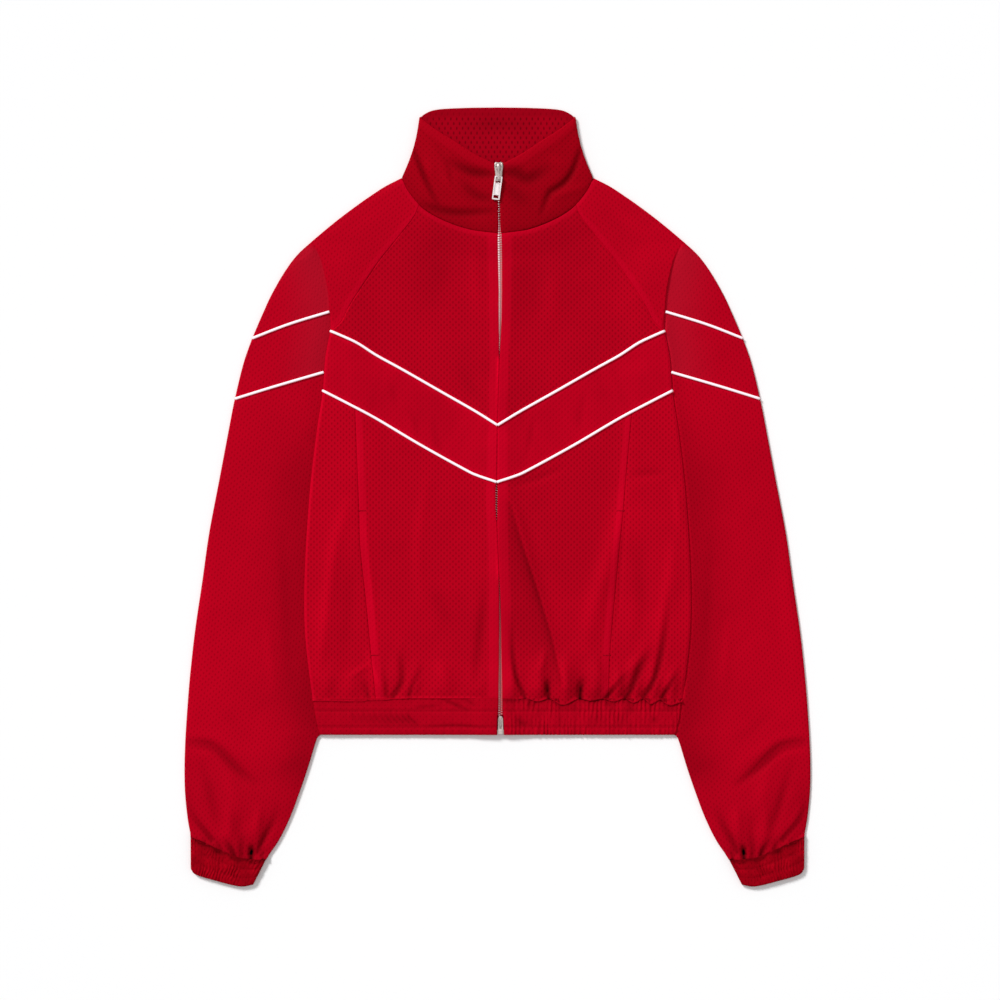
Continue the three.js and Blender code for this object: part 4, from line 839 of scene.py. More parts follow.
def shell_faces(rows, columns, rings):
    """Quads of a closed shell: upper grid, lower grid, and rings round the rim between them."""
    at = lambda r, c: r * columns + c
    below = rows * columns
    faces = []
    for r in range(rows - 1):
        for c in range(columns - 1):
            p, q, s, t = at(r, c), at(r, c + 1), at(r + 1, c + 1), at(r + 1, c)
            faces.append((p, q, s, t))
            faces.append((below + p, below + t, below + s, below + q))
    rim = [at(0, c) for c in range(columns)] + [at(r, columns - 1) for r in range(1, rows)]
    rim += [at(rows - 1, c) for c in range(columns - 2, -1, -1)] + [at(r, 0) for r in range(rows - 2, 0, -1)]
    count = len(rim)
    levels = [rim] + [list(range(2 * below + k * count, 2 * below + (k + 1) * count)) for k in range(rings)]
    levels.append([below + i for i in rim])
    for upper, lower in zip(levels, levels[1:]):
        for i in range(count):
            j = (i + 1) % count
            faces.append((upper[i], lower[i], lower[j], upper[j]))
    return faces, rim


def shell(name, upper, lower, material, uv, attributes, bulge=0.0):
    """A cloth wall from its upper and lower grids, with a rounded rim."""
    rows, columns = upper.shape[:2]
    rings = 2
    faces, rim = shell_faces(rows, columns, rings)
    flat_upper, flat_lower = upper.reshape(-1, 3), lower.reshape(-1, 3)
    inward = {}
    for i in rim:
        r, c = divmod(i, columns)
        inward[i] = min(max(r, 1), rows - 2) * columns + min(max(c, 1), columns - 2)
    outward = np.array([flat_upper[i] - flat_upper[inward[i]] for i in rim])
    outward[:, 2] = 0
    outward /= np.maximum(np.linalg.norm(outward, axis=1), 1e-6)[:, None]
    points = [flat_upper, flat_lower]
    for k in range(rings):
        t = (k + 1) / (rings + 1)
        points.append(mix(flat_upper[rim], flat_lower[rim], t) + outward * bulge * np.sin(np.pi * t))
    points = np.vstack(points)
    uv_flat = uv.reshape(-1, 2)
    uv_all = np.vstack([uv_flat, uv_flat] + [uv_flat[rim]] * rings)
    spread = {}
    for key, values in attributes.items():
        values = np.broadcast_to(values, (rows, columns)).ravel()
        spread[key] = np.concatenate([values, values] + [values[rim]] * rings)
    (x0, y0), (x1, y1), (x2, y2) = (flat_upper[i][:2] for i in (0, 1, columns))
    if (x1 - x0) * (y2 - y0) - (x2 - x0) * (y1 - y0) < 0:
        faces = [face[::-1] for face in faces]
    return mesh_object(name, points, faces, material, uv_all, spread)


def pulled_in(x, y):
    """Moves the border of a grid inwards by the seam's gap."""
    for grid_x, grid_y in ((x, y), (x.T, y.T)):
        for edge, near in ((0, 1), (-1, -2)):
            dx, dy = grid_x[near] - grid_x[edge], grid_y[near] - grid_y[edge]
            share = SEAM / np.maximum(np.hypot(dx, dy), 1e-6)
            grid_x[edge] += dx * share
            grid_y[edge] += dy * share
    return x, y


def border_distances(x, y):
    """Distance in mm of every grid point from the four borders: u0, u1, v0, v1."""
    across = np.cumsum(np.pad(np.hypot(np.diff(x, axis=1), np.diff(y, axis=1)), ((0, 0), (1, 0))), axis=1)
    along = np.cumsum(np.pad(np.hypot(np.diff(x, axis=0), np.diff(y, axis=0)), ((1, 0), (0, 0))), axis=0)
    return {"u0": across, "u1": across[:, -1:] - across, "v0": along, "v1": along[-1:] - along}


def steps(*stops):
    """Shares from 0 to 1 with even stretches between (share, count) stops."""
    values = [0.0]
    for share, count in stops:
        values += list(np.linspace(values[-1], share, count + 1)[1:])
    return np.array(values)


def panel(name, sign, us, vs, place, top, material, dips, thick=CLOTH, doubled=None, shade=None,
          haze=None, turn=0.0, bulge=0.0, after=None):
    """One cut piece. dips gives depth and width of the ditch at each seam, doubled the widths of the bands
    where seam allowances lie under the cloth, turn the angle of the knit on the piece."""
    u, v = np.meshgrid(us, vs)
    x, y = place(u, v)
    x, y = pulled_in(np.array(x, float), np.array(y, float))
    away = border_distances(x, y)
    z = np.array(top(x, y, u, v), float)
    for border, (depth, width) in dips.items():
        z = z - depth * np.exp(-away[border] / width)
    if after:
        x, y, z = after(x, y, z, u, v)
    band = np.zeros(x.shape)
    for border, width in (doubled or {}).items():
        band = np.maximum(band, ease(width + 0.8, width - 0.8, away[border]))
    painted_shade = np.zeros(x.shape) if shade is None else shade(x, y, u, v, away)
    upper = np.stack([sign * x, y, z], axis=-1)
    lower = upper - np.array([0, 0, thick])
    angle = np.radians(turn)
    turned_x = x * np.cos(angle) + y * np.sin(angle)
    uv = np.stack([sign * turned_x, -x * np.sin(angle) + y * np.cos(angle)], axis=-1)
    painted_sheen = np.zeros(x.shape) if haze is None else haze(x, y)
    made = shell(name, upper, lower, material, uv, {"doubled": band, "shade": painted_shade, "haze": painted_sheen}, bulge)
    note_cut(made, x, y)
    return made


def note_cut(piece, x, y):
    """Keeps the area and the size of the cut on the piece."""
    edge_x = np.concatenate([x[0], x[1:, -1], x[-1, -2::-1], x[-2:0:-1, 0]])
    edge_y = np.concatenate([y[0], y[1:, -1], y[-1, -2::-1], y[-2:0:-1, 0]])
    area = 0.5 * np.sum(edge_x * np.roll(edge_y, -1) - np.roll(edge_x, -1) * edge_y)
    piece["cut_area"] = float(abs(area) * MM * MM)
    piece["cut_size"] = [float(np.ptp(x)) * MM, float(np.ptp(y)) * MM]


def dress(piece, node_names, body="jacket"):
    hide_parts(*node_names)
    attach(piece, body)
    return piece


def declare_later(piece, with_pieces=()):
    list(with_pieces)


# The body's front

def beside_zip(place, sign):
    def moved(u, v):
        x, y = place(u, v)
        return x + (sign * zip_x(y) + zip_gap(y)) * (1 - u), y
    return moved


def centre_front(start, stop):
    return straight((0, start), (0, stop))


def overhang(side, x):
    rows = np.array(OVERHANG[side], float)
    at = np.clip(x, rows[0, 0], rows[-1, 0])
    index = np.clip(np.searchsorted(rows[:, 0], at) - 1, 0, len(rows) - 2)
    share = ease(0, 1, (at - rows[index, 0]) / (rows[index + 1, 0] - rows[index, 0]))
    return mix(rows[index, 1], rows[index + 1, 1], share)


def hang_over_band(side):
    """Lobes of the bagging cloth hang over the waistband and roll under at the seam."""
    def after(x, y, z, u, v):
        low = ease(9, 0, y - WAIST_Y)
        rim = ease(2.6, 0, y - WAIST_Y)
        z = mix(z, TWO_RIBS + 1.9 + (0.7 if side == "left" else 0.3), rim * 0.85)
        return x, y - overhang(side, x) * low, z
    return after


def front(side, sign):
    left = side == "left"
    top = lambda x, y, u, v: body_top(side, x, y)
    # For the flange: painted light on a line 2.8 mm from the piping's seam and painted shade on a line beyond
    # it.
    flange = lambda away: 0.10 * bell((away - 4.4) / 0.7) - 0.07 * bell((away - 2.8) / 0.9)

    def tone(x, y, u, v, away):
        """Painted shade and light of the folds, the paler strip beside the zip, and painted light on the
        edges at the zip and over the sleeve.
        """
        gap = zip_gap(y)
        strip = 0.035 * ease(14, 9, x - gap)
        zip_edge_light = (0.1 if left else 0.6) * np.exp(-np.maximum(x - gap, 0) / 0.8) * ease(0.3, 0.1, gap)
        side_edge_light = (0.16 if left else 0.0) * np.exp(-np.maximum(fold_edge(y) - x, 0) / 2.2) * (y < 204)
        return body_shade(side, x, y) - strip - zip_edge_light - side_edge_light

    def yoke_tone(x, y, u, v, away):
        """Painted light and shade for the yoke's flange over the piping and beside the raglan seam, with
        painted light on the seam's very edge.
        """
        return (tone(x, y, u, v, away) + 0.02 + flange(away["v0"]) + 0.08 * bell((away["u1"] - 1) / 1.2)
                - 0.4 * bell(away["u1"] / 0.5))

    def chevron_tone(x, y, u, v, away):
        # Painted light and shade of fine slanting wrinkles.
        return tone(x, y, u, v, away) + 0.035 * noise(x + 0.3 * y, 0.3 * y, 7, 51.0)

    def lower_tone(x, y, u, v, away):
        """Painted light and shade of the flange under the lower piping, painted shade at the waist seam and
        over the bagging cloth above it, and painted light towards the side.
        """
        at_waist = (0.22 if left else 0.04) * np.exp(-away["v0"] / 2.1)
        low = (0.05 if left else 0.01) * ease(-110, -190, y)
        return tone(x, y, u, v, away) + at_waist + flange(away["v1"]) - 0.08 * ease(118, 145, x) + low

    neck_share = NECK.share_at(0, RAGLAN[0][0])
    seam_share = LOWER.share_at(0, PANEL_SEAM_TOP_X[side])
    seam = Line([[float(k) for k in LOWER(seam_share)], *PANEL_SEAM[side]])
    side_low = SIDE_LINE.share_at(1, float(LOWER(1.0)[1]))
    yoke_place = between(UPPER, part(NECK, 0, neck_share), centre_front(CHEVRON_TOP_Y, NECK_Y),
                         lambda v: RAGLAN_F(1 - v))
    chevron_place = between(LOWER, UPPER, centre_front(CHEVRON_FOOT_Y, CHEVRON_TOP_Y),
                            part(SIDE_LINE, side_low, 0))
    centre_place = between(straight((0, WAIST_Y), seam(1.0)), part(LOWER, 0, seam_share),
                           centre_front(WAIST_Y, CHEVRON_FOOT_Y), lambda v: seam(1 - v))
    side_place = between(straight(seam(1.0), (WAIST_X, WAIST_Y)), part(LOWER, seam_share, 1),
                         lambda v: seam(1 - v), part(SIDE_LINE, 1, side_low))
    yoke = panel(
        f"yoke_knit_{side}", sign, steps((0.08, 8), (0.92, 60), (1, 8)), steps((0.05, 6), (0.95, 84), (1, 6)),
        beside_zip(yoke_place, sign), top, MATERIAL["body"],
        dips={"u0": (0.15, 1.0), "u1": (0.05, 1.0), "v0": (0.9, 1.6), "v1": (0.6, 1.8)},
        doubled={"u0": 11.5, "v0": 3.5, "v1": 5.0}, shade=yoke_tone)
    chevron = panel(
        f"chevron_knit_{side}", sign, steps((0.06, 6), (0.98, 80), (1, 5)),
        steps((0.06, 4), (0.94, 24), (1, 4)), beside_zip(chevron_place, sign), top, MATERIAL["chevron"],
        dips={"u0": (0.15, 0.8), "u1": (0.2, 1.0), "v0": (0.9, 1.6), "v1": (0.9, 1.6)},
        doubled={"u0": 11.5, "v0": 4.5, "v1": 4.5, "u1": 2.5}, shade=chevron_tone)
    centre = panel(
        f"front_centre_knit_{side}", sign, steps((0.06, 6), (0.94, 76), (1, 7)),
        steps((0.03, 7), (0.22, 34), (0.97, 76), (1, 5)), beside_zip(centre_place, sign), top,
        MATERIAL["body"], dips={"u0": (0.25, 1.0), "u1": (0.6, 1.4), "v0": (0.3, 1.2), "v1": (0.9, 1.6)},
        doubled={"u0": 11.5, "u1": 8.5, "v1": 4.0, "v0": 1.0}, shade=lower_tone, after=hang_over_band(side))
    side_piece = panel(
        f"front_side_knit_{side}", sign, steps((0.1, 8), (0.95, 38), (1, 6)),
        steps((0.03, 7), (0.22, 38), (0.97, 80), (1, 5)), side_place, top, MATERIAL["body"],
        dips={"u0": (0.5, 1.2), "u1": (0.2, 1.0), "v0": (0.3, 1.2), "v1": (0.9, 1.8)},
        doubled={"v1": 4.0, "v0": 1.0, "u1": 2.5}, shade=lower_tone, after=hang_over_band(side))
    pipings = body_pipings(side, sign)
    pieces = ((yoke, "yoke", ()), (chevron, "chevron", pipings), (centre, "front_centre", ()),
              (side_piece, "front_side", ()))
    for piece, part_name, extra in pieces:
        dress(piece, [f"{part_name}_{side}"])
        declare_later(piece, extra)
    return seam


def waist_gathers(side, x, y):
    """Elastic gathers from about -1 to 1, uneven along the band."""
    wander = 0.6 * noise(x, y * 0.25, 11, 1.7) + 0.12 * noise(x, y, 6, 1.9)
    strong = np.clip(0.42 + 0.7 * noise(x, y * 0.9, 10, 2.2), 0.08, 1.1)
    comb = np.cos(2 * np.pi * (WAIST_GATHERS[side] * x / 200 + wander)) * strong
    return comb + 0.5 * noise(x, y * 0.3, 2.4, 3.3) + 0.3 * noise(x, y * 0.3, 4.5, 3.9)


def waistband_top(side, x, y, u):
    """The band's upper face with its gathers between two rows of stitches."""
    height = WAIST_GATHER_HEIGHT[side] * waist_gathers(side, x, y) * ease(0, 0.05, u)
    rows = sum(bell((y - at) / 1.4) for at in WAIST_STITCH_Y)
    puffed = 0.55 * np.sin(np.pi * np.clip((y - HEM_Y) / 40, 0, 1)) ** 0.5
    base = TWO_RIBS + 0.9 + 2.4 * bell(x / 30) - 0.9 * ease(6, 0, 203 - x)
    return base + height + puffed - 0.6 * rows + relief(BAND_RELIEF[side], x, y)[0]


# Painted shade under the cloth that hangs over the band, just below each stitch row, in the gathers' valleys
# and in the wrinkles, with random blotches of tone.
def waistband_shade(side, x, y, away):
    left = side == "left"
    rows = sum(bell((y - at - 0.8) / 1.2) for at in WAIST_STITCH_Y)
    under = np.exp(-np.maximum(away["v1"] - overhang(side, x) - 0.5, 0) / 2.4)
    blotches = 0.09 * noise(x, y * 0.6, 8, 6.6) if left else 0.025 * noise(x, y, 12, 6.6)
    gather_shade = (0.055 if left else 0.02) * np.clip(-waist_gathers(side, x, y), -0.4, 1.4) * ease(8, 20, x)
    wrinkles = relief(BAND_RELIEF[side], x, y)[1]
    return (0.42 if left else 0.12) * under + 0.10 * rows + blotches + gather_shade + 1.3 * wrinkles


def waistband(side, sign):
    hem, waist = straight((0, HEM_Y), (HEM_X, HEM_Y)), straight((0, WAIST_Y), (WAIST_X, WAIST_Y))
    place = beside_zip(
        between(hem, waist, centre_front(HEM_Y, WAIST_Y), lambda v: BAND_SIDE_LINE(1 - v)), sign)
    piece = panel(
        f"waistband_knit_{side}", sign, steps((1, 330 if side == "left" else 200)),
        steps((0.06, 3), (0.94, 26), (1, 2)), place, lambda x, y, u, v: waistband_top(side, x, y, u),
        MATERIAL["band"], thick=RIB, dips={"u0": (0.6, 1.4), "u1": (0.6, 1.6), "v0": (0.9, 1.4)},
        doubled={"v0": 2.0}, shade=lambda x, y, u, v, away: waistband_shade(side, x, y, away), bulge=0.25)
    dress(piece, [f"waistband_{side}"])
    declare_later(piece)
    return place


def body_pipings(side, sign):
    made = []
    for name, line in (("upper", UPPER), ("lower", LOWER)):
        u = np.linspace(0, 1, 110)
        x, y = beside_zip(lambda a, b: line(a), sign)(u, 0)
        x = np.array(x)
        x[0] += SEAM
        z = side_rim(side, x, y) + 1.15
        z = z - 1.2 * ease(0.985, 1, u)
        piece = cord_along(f"piping_satin_{name}_{side}", sign * x, y, z, PIPING_RADIUS, MATERIAL["piping"])
        dress(piece, [f"piping_{name}_{side}"])
        made.append(piece)
    return made


def cord_along(name, x, y, z, radius, material, sides=12, flatten=0.85):
    """A round cord along a line, a little flattened, with closed ends."""
    centre = np.stack([x, y, z], axis=-1)
    forward = np.gradient(centre, axis=0)
    forward /= np.linalg.norm(forward, axis=1)[:, None]
    across = np.cross(forward, [0, 0, 1.0])
    across /= np.linalg.norm(across, axis=1)[:, None]
    up = np.cross(across, forward)
    turn = np.linspace(0, 2 * np.pi, sides, endpoint=False)
    rings = centre[:, None] + radius * (np.cos(turn)[None, :, None] * across[:, None]
                                        + flatten * np.sin(turn)[None, :, None] * up[:, None])
    count = len(centre)
    along = np.concatenate([[0], np.cumsum(np.linalg.norm(np.diff(centre, axis=0), axis=1))])
    points = [*rings.reshape(-1, 3), centre[0] - forward[0] * 0.15, centre[-1] + forward[-1] * 0.15]
    uv = [(along[i], radius * turn[k]) for i in range(count) for k in range(sides)] + [(0, 0), (along[-1], 0)]
    faces = []
    for i in range(count - 1):
        for k in range(sides):
            j = (k + 1) % sides
            faces.append((i * sides + k, i * sides + j, (i + 1) * sides + j, (i + 1) * sides + k))
    for k in range(sides):
        j = (k + 1) % sides
        faces.append((j, k, count * sides))
        faces.append(((count - 1) * sides + k, (count - 1) * sides + j, count * sides + 1))
    return mesh_object(name, points, faces, material, uv)


# The back: flat on the table, and lifted along its side edges where they lie over the sleeves

def back():
    raglan_at = edge_at(RAGLAN_B)
    ys = np.concatenate([np.linspace(WAIST_Y + SEAM, UNDERARM_Y - 2, 90), np.linspace(UNDERARM_Y, 353.1, 42)])

    def half(y):
        return np.where(y > UNDERARM_Y, raglan_at(y) - SEAM, fold_edge(y) - mix(1.6, 3.4, rise(y)))

    outer = half(ys)
    inner = np.minimum(np.where(ys > UNDERARM_Y, outer, sleeve_inner(ys)), outer)
    foot = np.where(ys > UNDERARM_Y, outer - 20, inner - 16)
    step = np.where(ys > UNDERARM_Y, outer - 10, np.minimum(inner - 3, outer - 3))
    columns, levels = [], []
    for share in np.linspace(0, 1, 34):
        columns.append(foot * share)
        levels.append(np.zeros(len(ys)))
    for share in np.linspace(0, 1, 8)[1:]:
        columns.append(mix(foot, step, share))
        levels.append(np.full(len(ys), float(ease(0.25, 1, share))))
    for share in np.linspace(0, 1, 6)[1:]:
        columns.append(mix(step, outer, share))
        levels.append(np.ones(len(ys)))
    x = np.stack(columns, axis=1)
    z = np.stack(levels, axis=1) * (rise(ys) * BACK_OVER_SLEEVE)[:, None]
    x = np.hstack([-x[:, :0:-1], x])
    z = np.hstack([z[:, :0:-1], z])
    y = np.repeat(ys[:, None], x.shape[1], axis=1)
    lower = np.stack([x, y, z], axis=-1)
    upper = lower + np.array([0, 0, CLOTH])
    plain = {"doubled": np.zeros(x.shape), "shade": np.zeros(x.shape)}
    piece = shell("back_knit", upper, lower, MATERIAL["body"], np.stack([x, y], axis=-1), plain, 0.05)
    note_cut(piece, x, y)
    dress(piece, ["back"])
    declare_later(piece)

    def band_place(u, v):
        y_band = mix(HEM_Y, WAIST_Y, v)
        return mix(-1, 1, u) * (fold_edge(y_band) - 0.6), y_band

    def band_height(x_band, y_band, u, v):
        return RIB + 0.1 * np.cos(2 * np.pi * 50 * u) * np.sin(np.pi * v)

    band = panel("waistband_knit_back", 1, steps((1, 200)), steps((1, 12)), band_place, band_height,
                 MATERIAL["band"], thick=RIB, dips={})
    dress(band, ["waistband_back"])
    declare_later(band)


# The sleeves

def sleeve_piece(outer, edge, inner):
    def place(u, v):
        (ox, oy), (ex, ey), (ix, iy) = outer(v), edge(v), inner(v)
        share = np.abs(u)
        return (np.where(u < 0, mix(ex, ix, share), mix(ex, ox, share)),
                np.where(u < 0, mix(ey, iy, share), mix(ey, oy, share)))
    return place


def sleeve(side, sign):
    pleat_share = SHOULDER_LINE.share_at(1, PLEAT_TOP_Y)

    def pleat(v):
        x, y = SHOULDER_LINE(v)
        px, py = PLEAT_LINE((v - pleat_share) / (1 - pleat_share))
        short = np.clip(v / pleat_share, 0, 1)
        early = v < pleat_share
        return np.where(early, x - mix(3.2, 3, short), px), np.where(early, y - mix(5, 0, short), py)

    neck_share = NECK.share_at(0, RAGLAN[0][0])

    def upper_place(u, v):
        (rx, ry), (px, py), (sx, sy) = RAGLAN_F(v), pleat(v), SHOULDER_LINE(v)
        share = np.abs(u)
        inner = u <= 0
        x = np.where(inner, mix(px, rx, share), mix(px, sx, share))
        y = np.where(inner, mix(py, ry, share), mix(py, sy, share))
        along = np.clip(np.hypot(x - rx, y - ry) / np.hypot(sx - rx, sy - ry), 0, 1)
        nx, ny = NECK(mix(neck_share, 1, along))
        qx, qy = SLEEVE_UPPER(np.maximum(u, 0))
        near_neck = ease(0.2, 0, v) * np.where(inner, ease(1, 0.9, share), 1)
        near_piping = ease(0.7, 1, v) * (u > 0)
        over = np.maximum(u, 0)
        x = x + (nx - mix(rx, sx, along)) * near_neck + (qx - mix(px, sx, over)) * near_piping
        y = y + (ny - mix(ry, sy, along)) * near_neck + (qy - mix(py, sy, over)) * near_piping
        return x, y

    def upper_top(x, y, u, v):
        waves = (0.3 * noise(x, y, 40, 7.7) + 0.12 * noise(x, y, 13, 7.7)) * ease(0, 12, sleeve_outer(y) - x)
        return mix(cap_top(side, x, y), EDGE_TOP, np.where(u < 0, ease(0.97, 1, v), 0)) + waves

    def upper_haze(x, y):
        """A painted sheen on the sleeve just outside the pleat, fading outwards."""
        past = past_pleat(x, y)
        hazy = np.where(y > PLEATED_BELOW_Y, 0, 0.8 * ease(-0.4, 1.2, past) * ease(62, 6, past))
        return hazy * ease(PLEATED_BELOW_Y, 270, y)

    def upper_shade(x, y, u, v, away):
        # Painted light along a crest near the neck, and at the pleat's step painted light on the left sleeve
        # and painted shade on the right one.
        crest_light = relief([("fold", [[118, 330], [150, 300], [172, 290]], 0, 12, -0.06)], x, y)[1]
        step = (-0.16 if side == "left" else 0.04) * bell((past_pleat(x, y) - 0.8) / 1.6)
        return np.where(y > PLEATED_BELOW_Y, 0, step) + crest_light + 0.03 * noise(x, y, 40, 31.0)

    upper = panel(
        f"sleeve_upper_knit_{side}", sign,
        np.concatenate([np.linspace(-1, -0.1, 36), np.linspace(-0.08, 0.1, 14), np.linspace(0.13, 0.94, 34),
                        [0.96, 0.98, 1.0]]),
        steps((0.04, 5), (0.96, 84), (1, 6)), upper_place, upper_top, MATERIAL["sleeve"],
        dips={"u0": (0.06, 1.0), "u1": (0.4, 2.0), "v0": (0.5, 1.8), "v1": (0.7, 1.6)},
        doubled={"u0": 6.5, "v1": 3.5, "v0": 4.0}, shade=upper_shade, haze=upper_haze, turn=KNIT_TURN,
        bulge=0.1)
    back_flat = lambda x, y, u, v: np.full(np.shape(x), CLOTH)
    upper_back = panel(
        f"sleeve_upper_knit_back_{side}", sign, steps((1, 24)), np.linspace(0, 0.987, 40),
        between(part(NECK_B, NECK_B.share_at(0, 70), 1), back_upper_edge, RAGLAN_B, SHOULDER_LINE), back_flat,
        MATERIAL["sleeve"], dips={}, turn=KNIT_TURN)

    def band_inner(v):
        y = mix(PIPING_INNER_Y, 204.0, v)
        return np.where(y > UNDERARM_Y, mix(184, 184.6, (y - UNDERARM_Y) / 21.5), fold_edge(y)) - 1.6, y

    outer_share = OUTER_LINE.share_at(1, PIPING_OUTER_Y)
    band_place = between(SLEEVE_LOWER, SLEEVE_UPPER, band_inner, part(OUTER_LINE, outer_share, 0))

    def front_height(x, y, u, v):
        edge_level = mix(9, TWO_LAYERS - 0.4, ease(3, 0, sleeve_outer(y) - x))
        return np.maximum(np.minimum(sleeve_top(x, y) + sleeve_fine(x, y), edge_level), TWO_LAYERS - 0.45)

    def body_side(x, y):
        return x - np.where(y > HEM_Y, fold_edge(y), mix(197, 214, np.clip((HEM_Y - y) / 48, 0, 1)))

    def tucked_shade(x, y, u, v, away):
        """Painted shade on the sleeve where it dips towards the body's edge and towards the cuff, along the
        cuff seam and in the folds, with painted light in the body's cast shadow on the left sleeve.
        """
        past = body_side(x, y)
        broad = (0.19 * ease(62, 6, past) * ease(128, 10, y) * ease(-326, -292, y)
                 + 0.06 * ease(20, 2, past) * (y > 60)
                 + 0.07 * ease(38, 4, past) * ease(-150, -235, y) * ease(-330, -296, y)
                 + 0.09 * ease(-256, -345, y))
        painted_light_at_edge = (0.5 if side == "left" else 0.0) * np.exp(-np.square(np.maximum(past, 0) / 2.1))
        close = (0.05 * np.exp(-np.maximum(past, 0) / 9) - painted_light_at_edge) * (y > HEM_Y)
        cuff_line = 0.30 * np.exp(-away["v1"] / 2.2) if y.min() < -300 else 0
        folds = 1.35 * relief(SLEEVE_RELIEF, x, y)[1]
        return broad + close + cuff_line + folds + 0.04 * noise(x, y, 50, 41.0)

    # The painted sheen goes on onto the band near the body's edge.
    def band_haze(x, y):
        return 0.75 * ease(60, 4, body_side(x, y)) * ease(112, 130, y)

    band = panel(
        f"sleeve_band_knit_{side}", sign, steps((0.06, 4), (0.95, 40), (1, 4)),
        steps((0.06, 4), (0.94, 26), (1, 4)), band_place, front_height, MATERIAL["sleeve"],
        dips={"u1": (0.3, 1.2), "v0": (0.8, 1.8), "v1": (0.8, 1.8)}, doubled={"v0": 4.0, "v1": 4.0},
        shade=tucked_shade, haze=band_haze, turn=KNIT_TURN, bulge=0.1)
    band_back = panel(
        f"sleeve_band_knit_back_{side}", sign, steps((1, 16)), np.linspace(0.027, 0.973, 12), band_place,
        back_flat, MATERIAL["sleeve"], dips={}, turn=KNIT_TURN)

    def edge(v):
        y = mix(PIPING_INNER_Y, CUFF_INNER_Y, v)
        inside = y > HEM_Y - 1
        return np.where(inside, fold_edge(y) + 0.5, sleeve_free(y) + 3), np.where(inside, y, y + 1)

    def inner(v):
        y = mix(PIPING_INNER_Y, CUFF_INNER_Y, v)
        return sleeve_inner(y), y

    rows = sleeve_piece(part(OUTER_LINE, outer_share, 1), edge, inner)

    def lower_place(u, v):
        x, y = rows(u, v)
        share = np.maximum(u, 0)
        top_y, bottom_y = SLEEVE_LOWER(share)[1], CUFF_SEAM_LINE(share)[1]
        shift_top = (top_y - mix(PIPING_INNER_Y, PIPING_OUTER_Y, share)) * (1 - ease(0, 0.15, v))
        shift_bottom = (bottom_y - mix(CUFF_INNER_Y, CUFF_OUTER_Y, share)) * ease(0.85, 1, v)
        return x, y + shift_top + shift_bottom

    def over_cuff(x, y, z, u, v):
        """The sleeve's lobes hang over the cuff and roll under at the seam."""
        lobe = cuff_lobe(u)
        rolled = 0.5 + 0.5 * np.clip(lobe / 5, 0, 1)
        y = y - np.maximum(1.5 * lobe - 1.5, 1.0) * ease(0.987, 1, v)
        return x, y, mix(z, TWO_RIBS + 1.4 + 0.9 * (1 - rolled), 0.85 * ease(0.992, 1, v))

    lower = panel(
        f"sleeve_lower_knit_{side}", sign,
        np.concatenate([[-1, -0.66, -0.33], steps((0.06, 4), (0.95, 50), (1, 4))]),
        steps((0.006, 3), (0.72, 120), (0.99, 88), (1, 7)), lower_place, front_height, MATERIAL["sleeve"],
        dips={"u1": (0.3, 1.2), "v0": (0.8, 1.8)}, doubled={"v0": 4.0}, shade=tucked_shade, turn=KNIT_TURN,
        bulge=0.1, after=over_cuff)
    lower_back = panel(
        f"sleeve_lower_knit_back_{side}", sign, np.concatenate([[-1, -0.5], steps((1, 20))]),
        np.concatenate([[0.0036], np.linspace(0.02, 1, 60)]), lower_place, back_flat, MATERIAL["sleeve"],
        dips={}, turn=KNIT_TURN)
    pipings = sleeve_pipings(side, sign)
    fronts = [(upper, "upper", ()), (band, "band", pipings[:2]), (lower, "lower", ())]
    backs = [(upper_back, "upper", ()), (band_back, "band", pipings[2:]), (lower_back, "lower", ())]
    for (front_piece, level, front_extra), (back_piece, _, back_extra) in zip(fronts, backs):
        dress(front_piece, [f"sleeve_front_{level}_{side}"])
        declare_later(front_piece, front_extra)
        dress(back_piece, [f"sleeve_back_{level}_{side}"])
        declare_later(back_piece, back_extra)
    cuff(side, sign)


def back_upper_edge(u):
    (ax, ay), (bx, by) = straight((183.5, UNDERARM_Y), (184.6, 204))(u / 0.2), SLEEVE_UPPER((u - 0.2) / 0.8)
    return np.where(u < 0.2, ax, bx), np.where(u < 0.2, ay, by)


def sleeve_pipings(side, sign):
    made = []
    for layer, start, stop in (("front", 0.006, 0.992), ("back", 0.04, 0.985)):
        for name, line in (("upper", SLEEVE_UPPER), ("lower", SLEEVE_LOWER)):
            u = np.linspace(start, stop, 60)
            x, y = line(u)
            if layer == "front":
                z = sleeve_top(x, y) + 1.05 - 1.0 * ease(0.97, 1, u)
                piece = cord_along(f"piping_satin_sleeve_{name}_{side}", sign * x, y, z, PIPING_RADIUS,
                                   MATERIAL["piping"])
            else:
                z = np.full(len(u), 0.66)
                piece = cord_along(f"piping_satin_sleeve_back_{name}_{side}", sign * x, y, z, 1.3,
                                   MATERIAL["piping"], sides=10, flatten=0.5)
            dress(piece, [f"piping_sleeve_{layer}_{name}_{side}"])
            made.append(piece)
    return made


def cuff_place():
    return between(Line(CUFF_HEM), CUFF_SEAM_LINE, straight(CUFF_HEM[0], CUFF_SEAM[0]),
                   straight(CUFF_HEM[-1], CUFF_SEAM[-1]))


def cuff_lobe(u):
    return np.interp(np.clip(u, 0, 1), CUFF_LOBES[:, 0], CUFF_LOBES[:, 1])


def cuff_gathers(x, y, u):
    wander = 0.7 * noise(x, y, 11, 4.4) + 0.25 * noise(x, y, 4, 4.9)
    strong = np.clip(0.5 + 0.8 * noise(x, y * 0.6, 9, 5.1), 0.1, 1.2)
    return np.cos(2 * np.pi * (CUFF_GATHERS * u + wander)) * strong


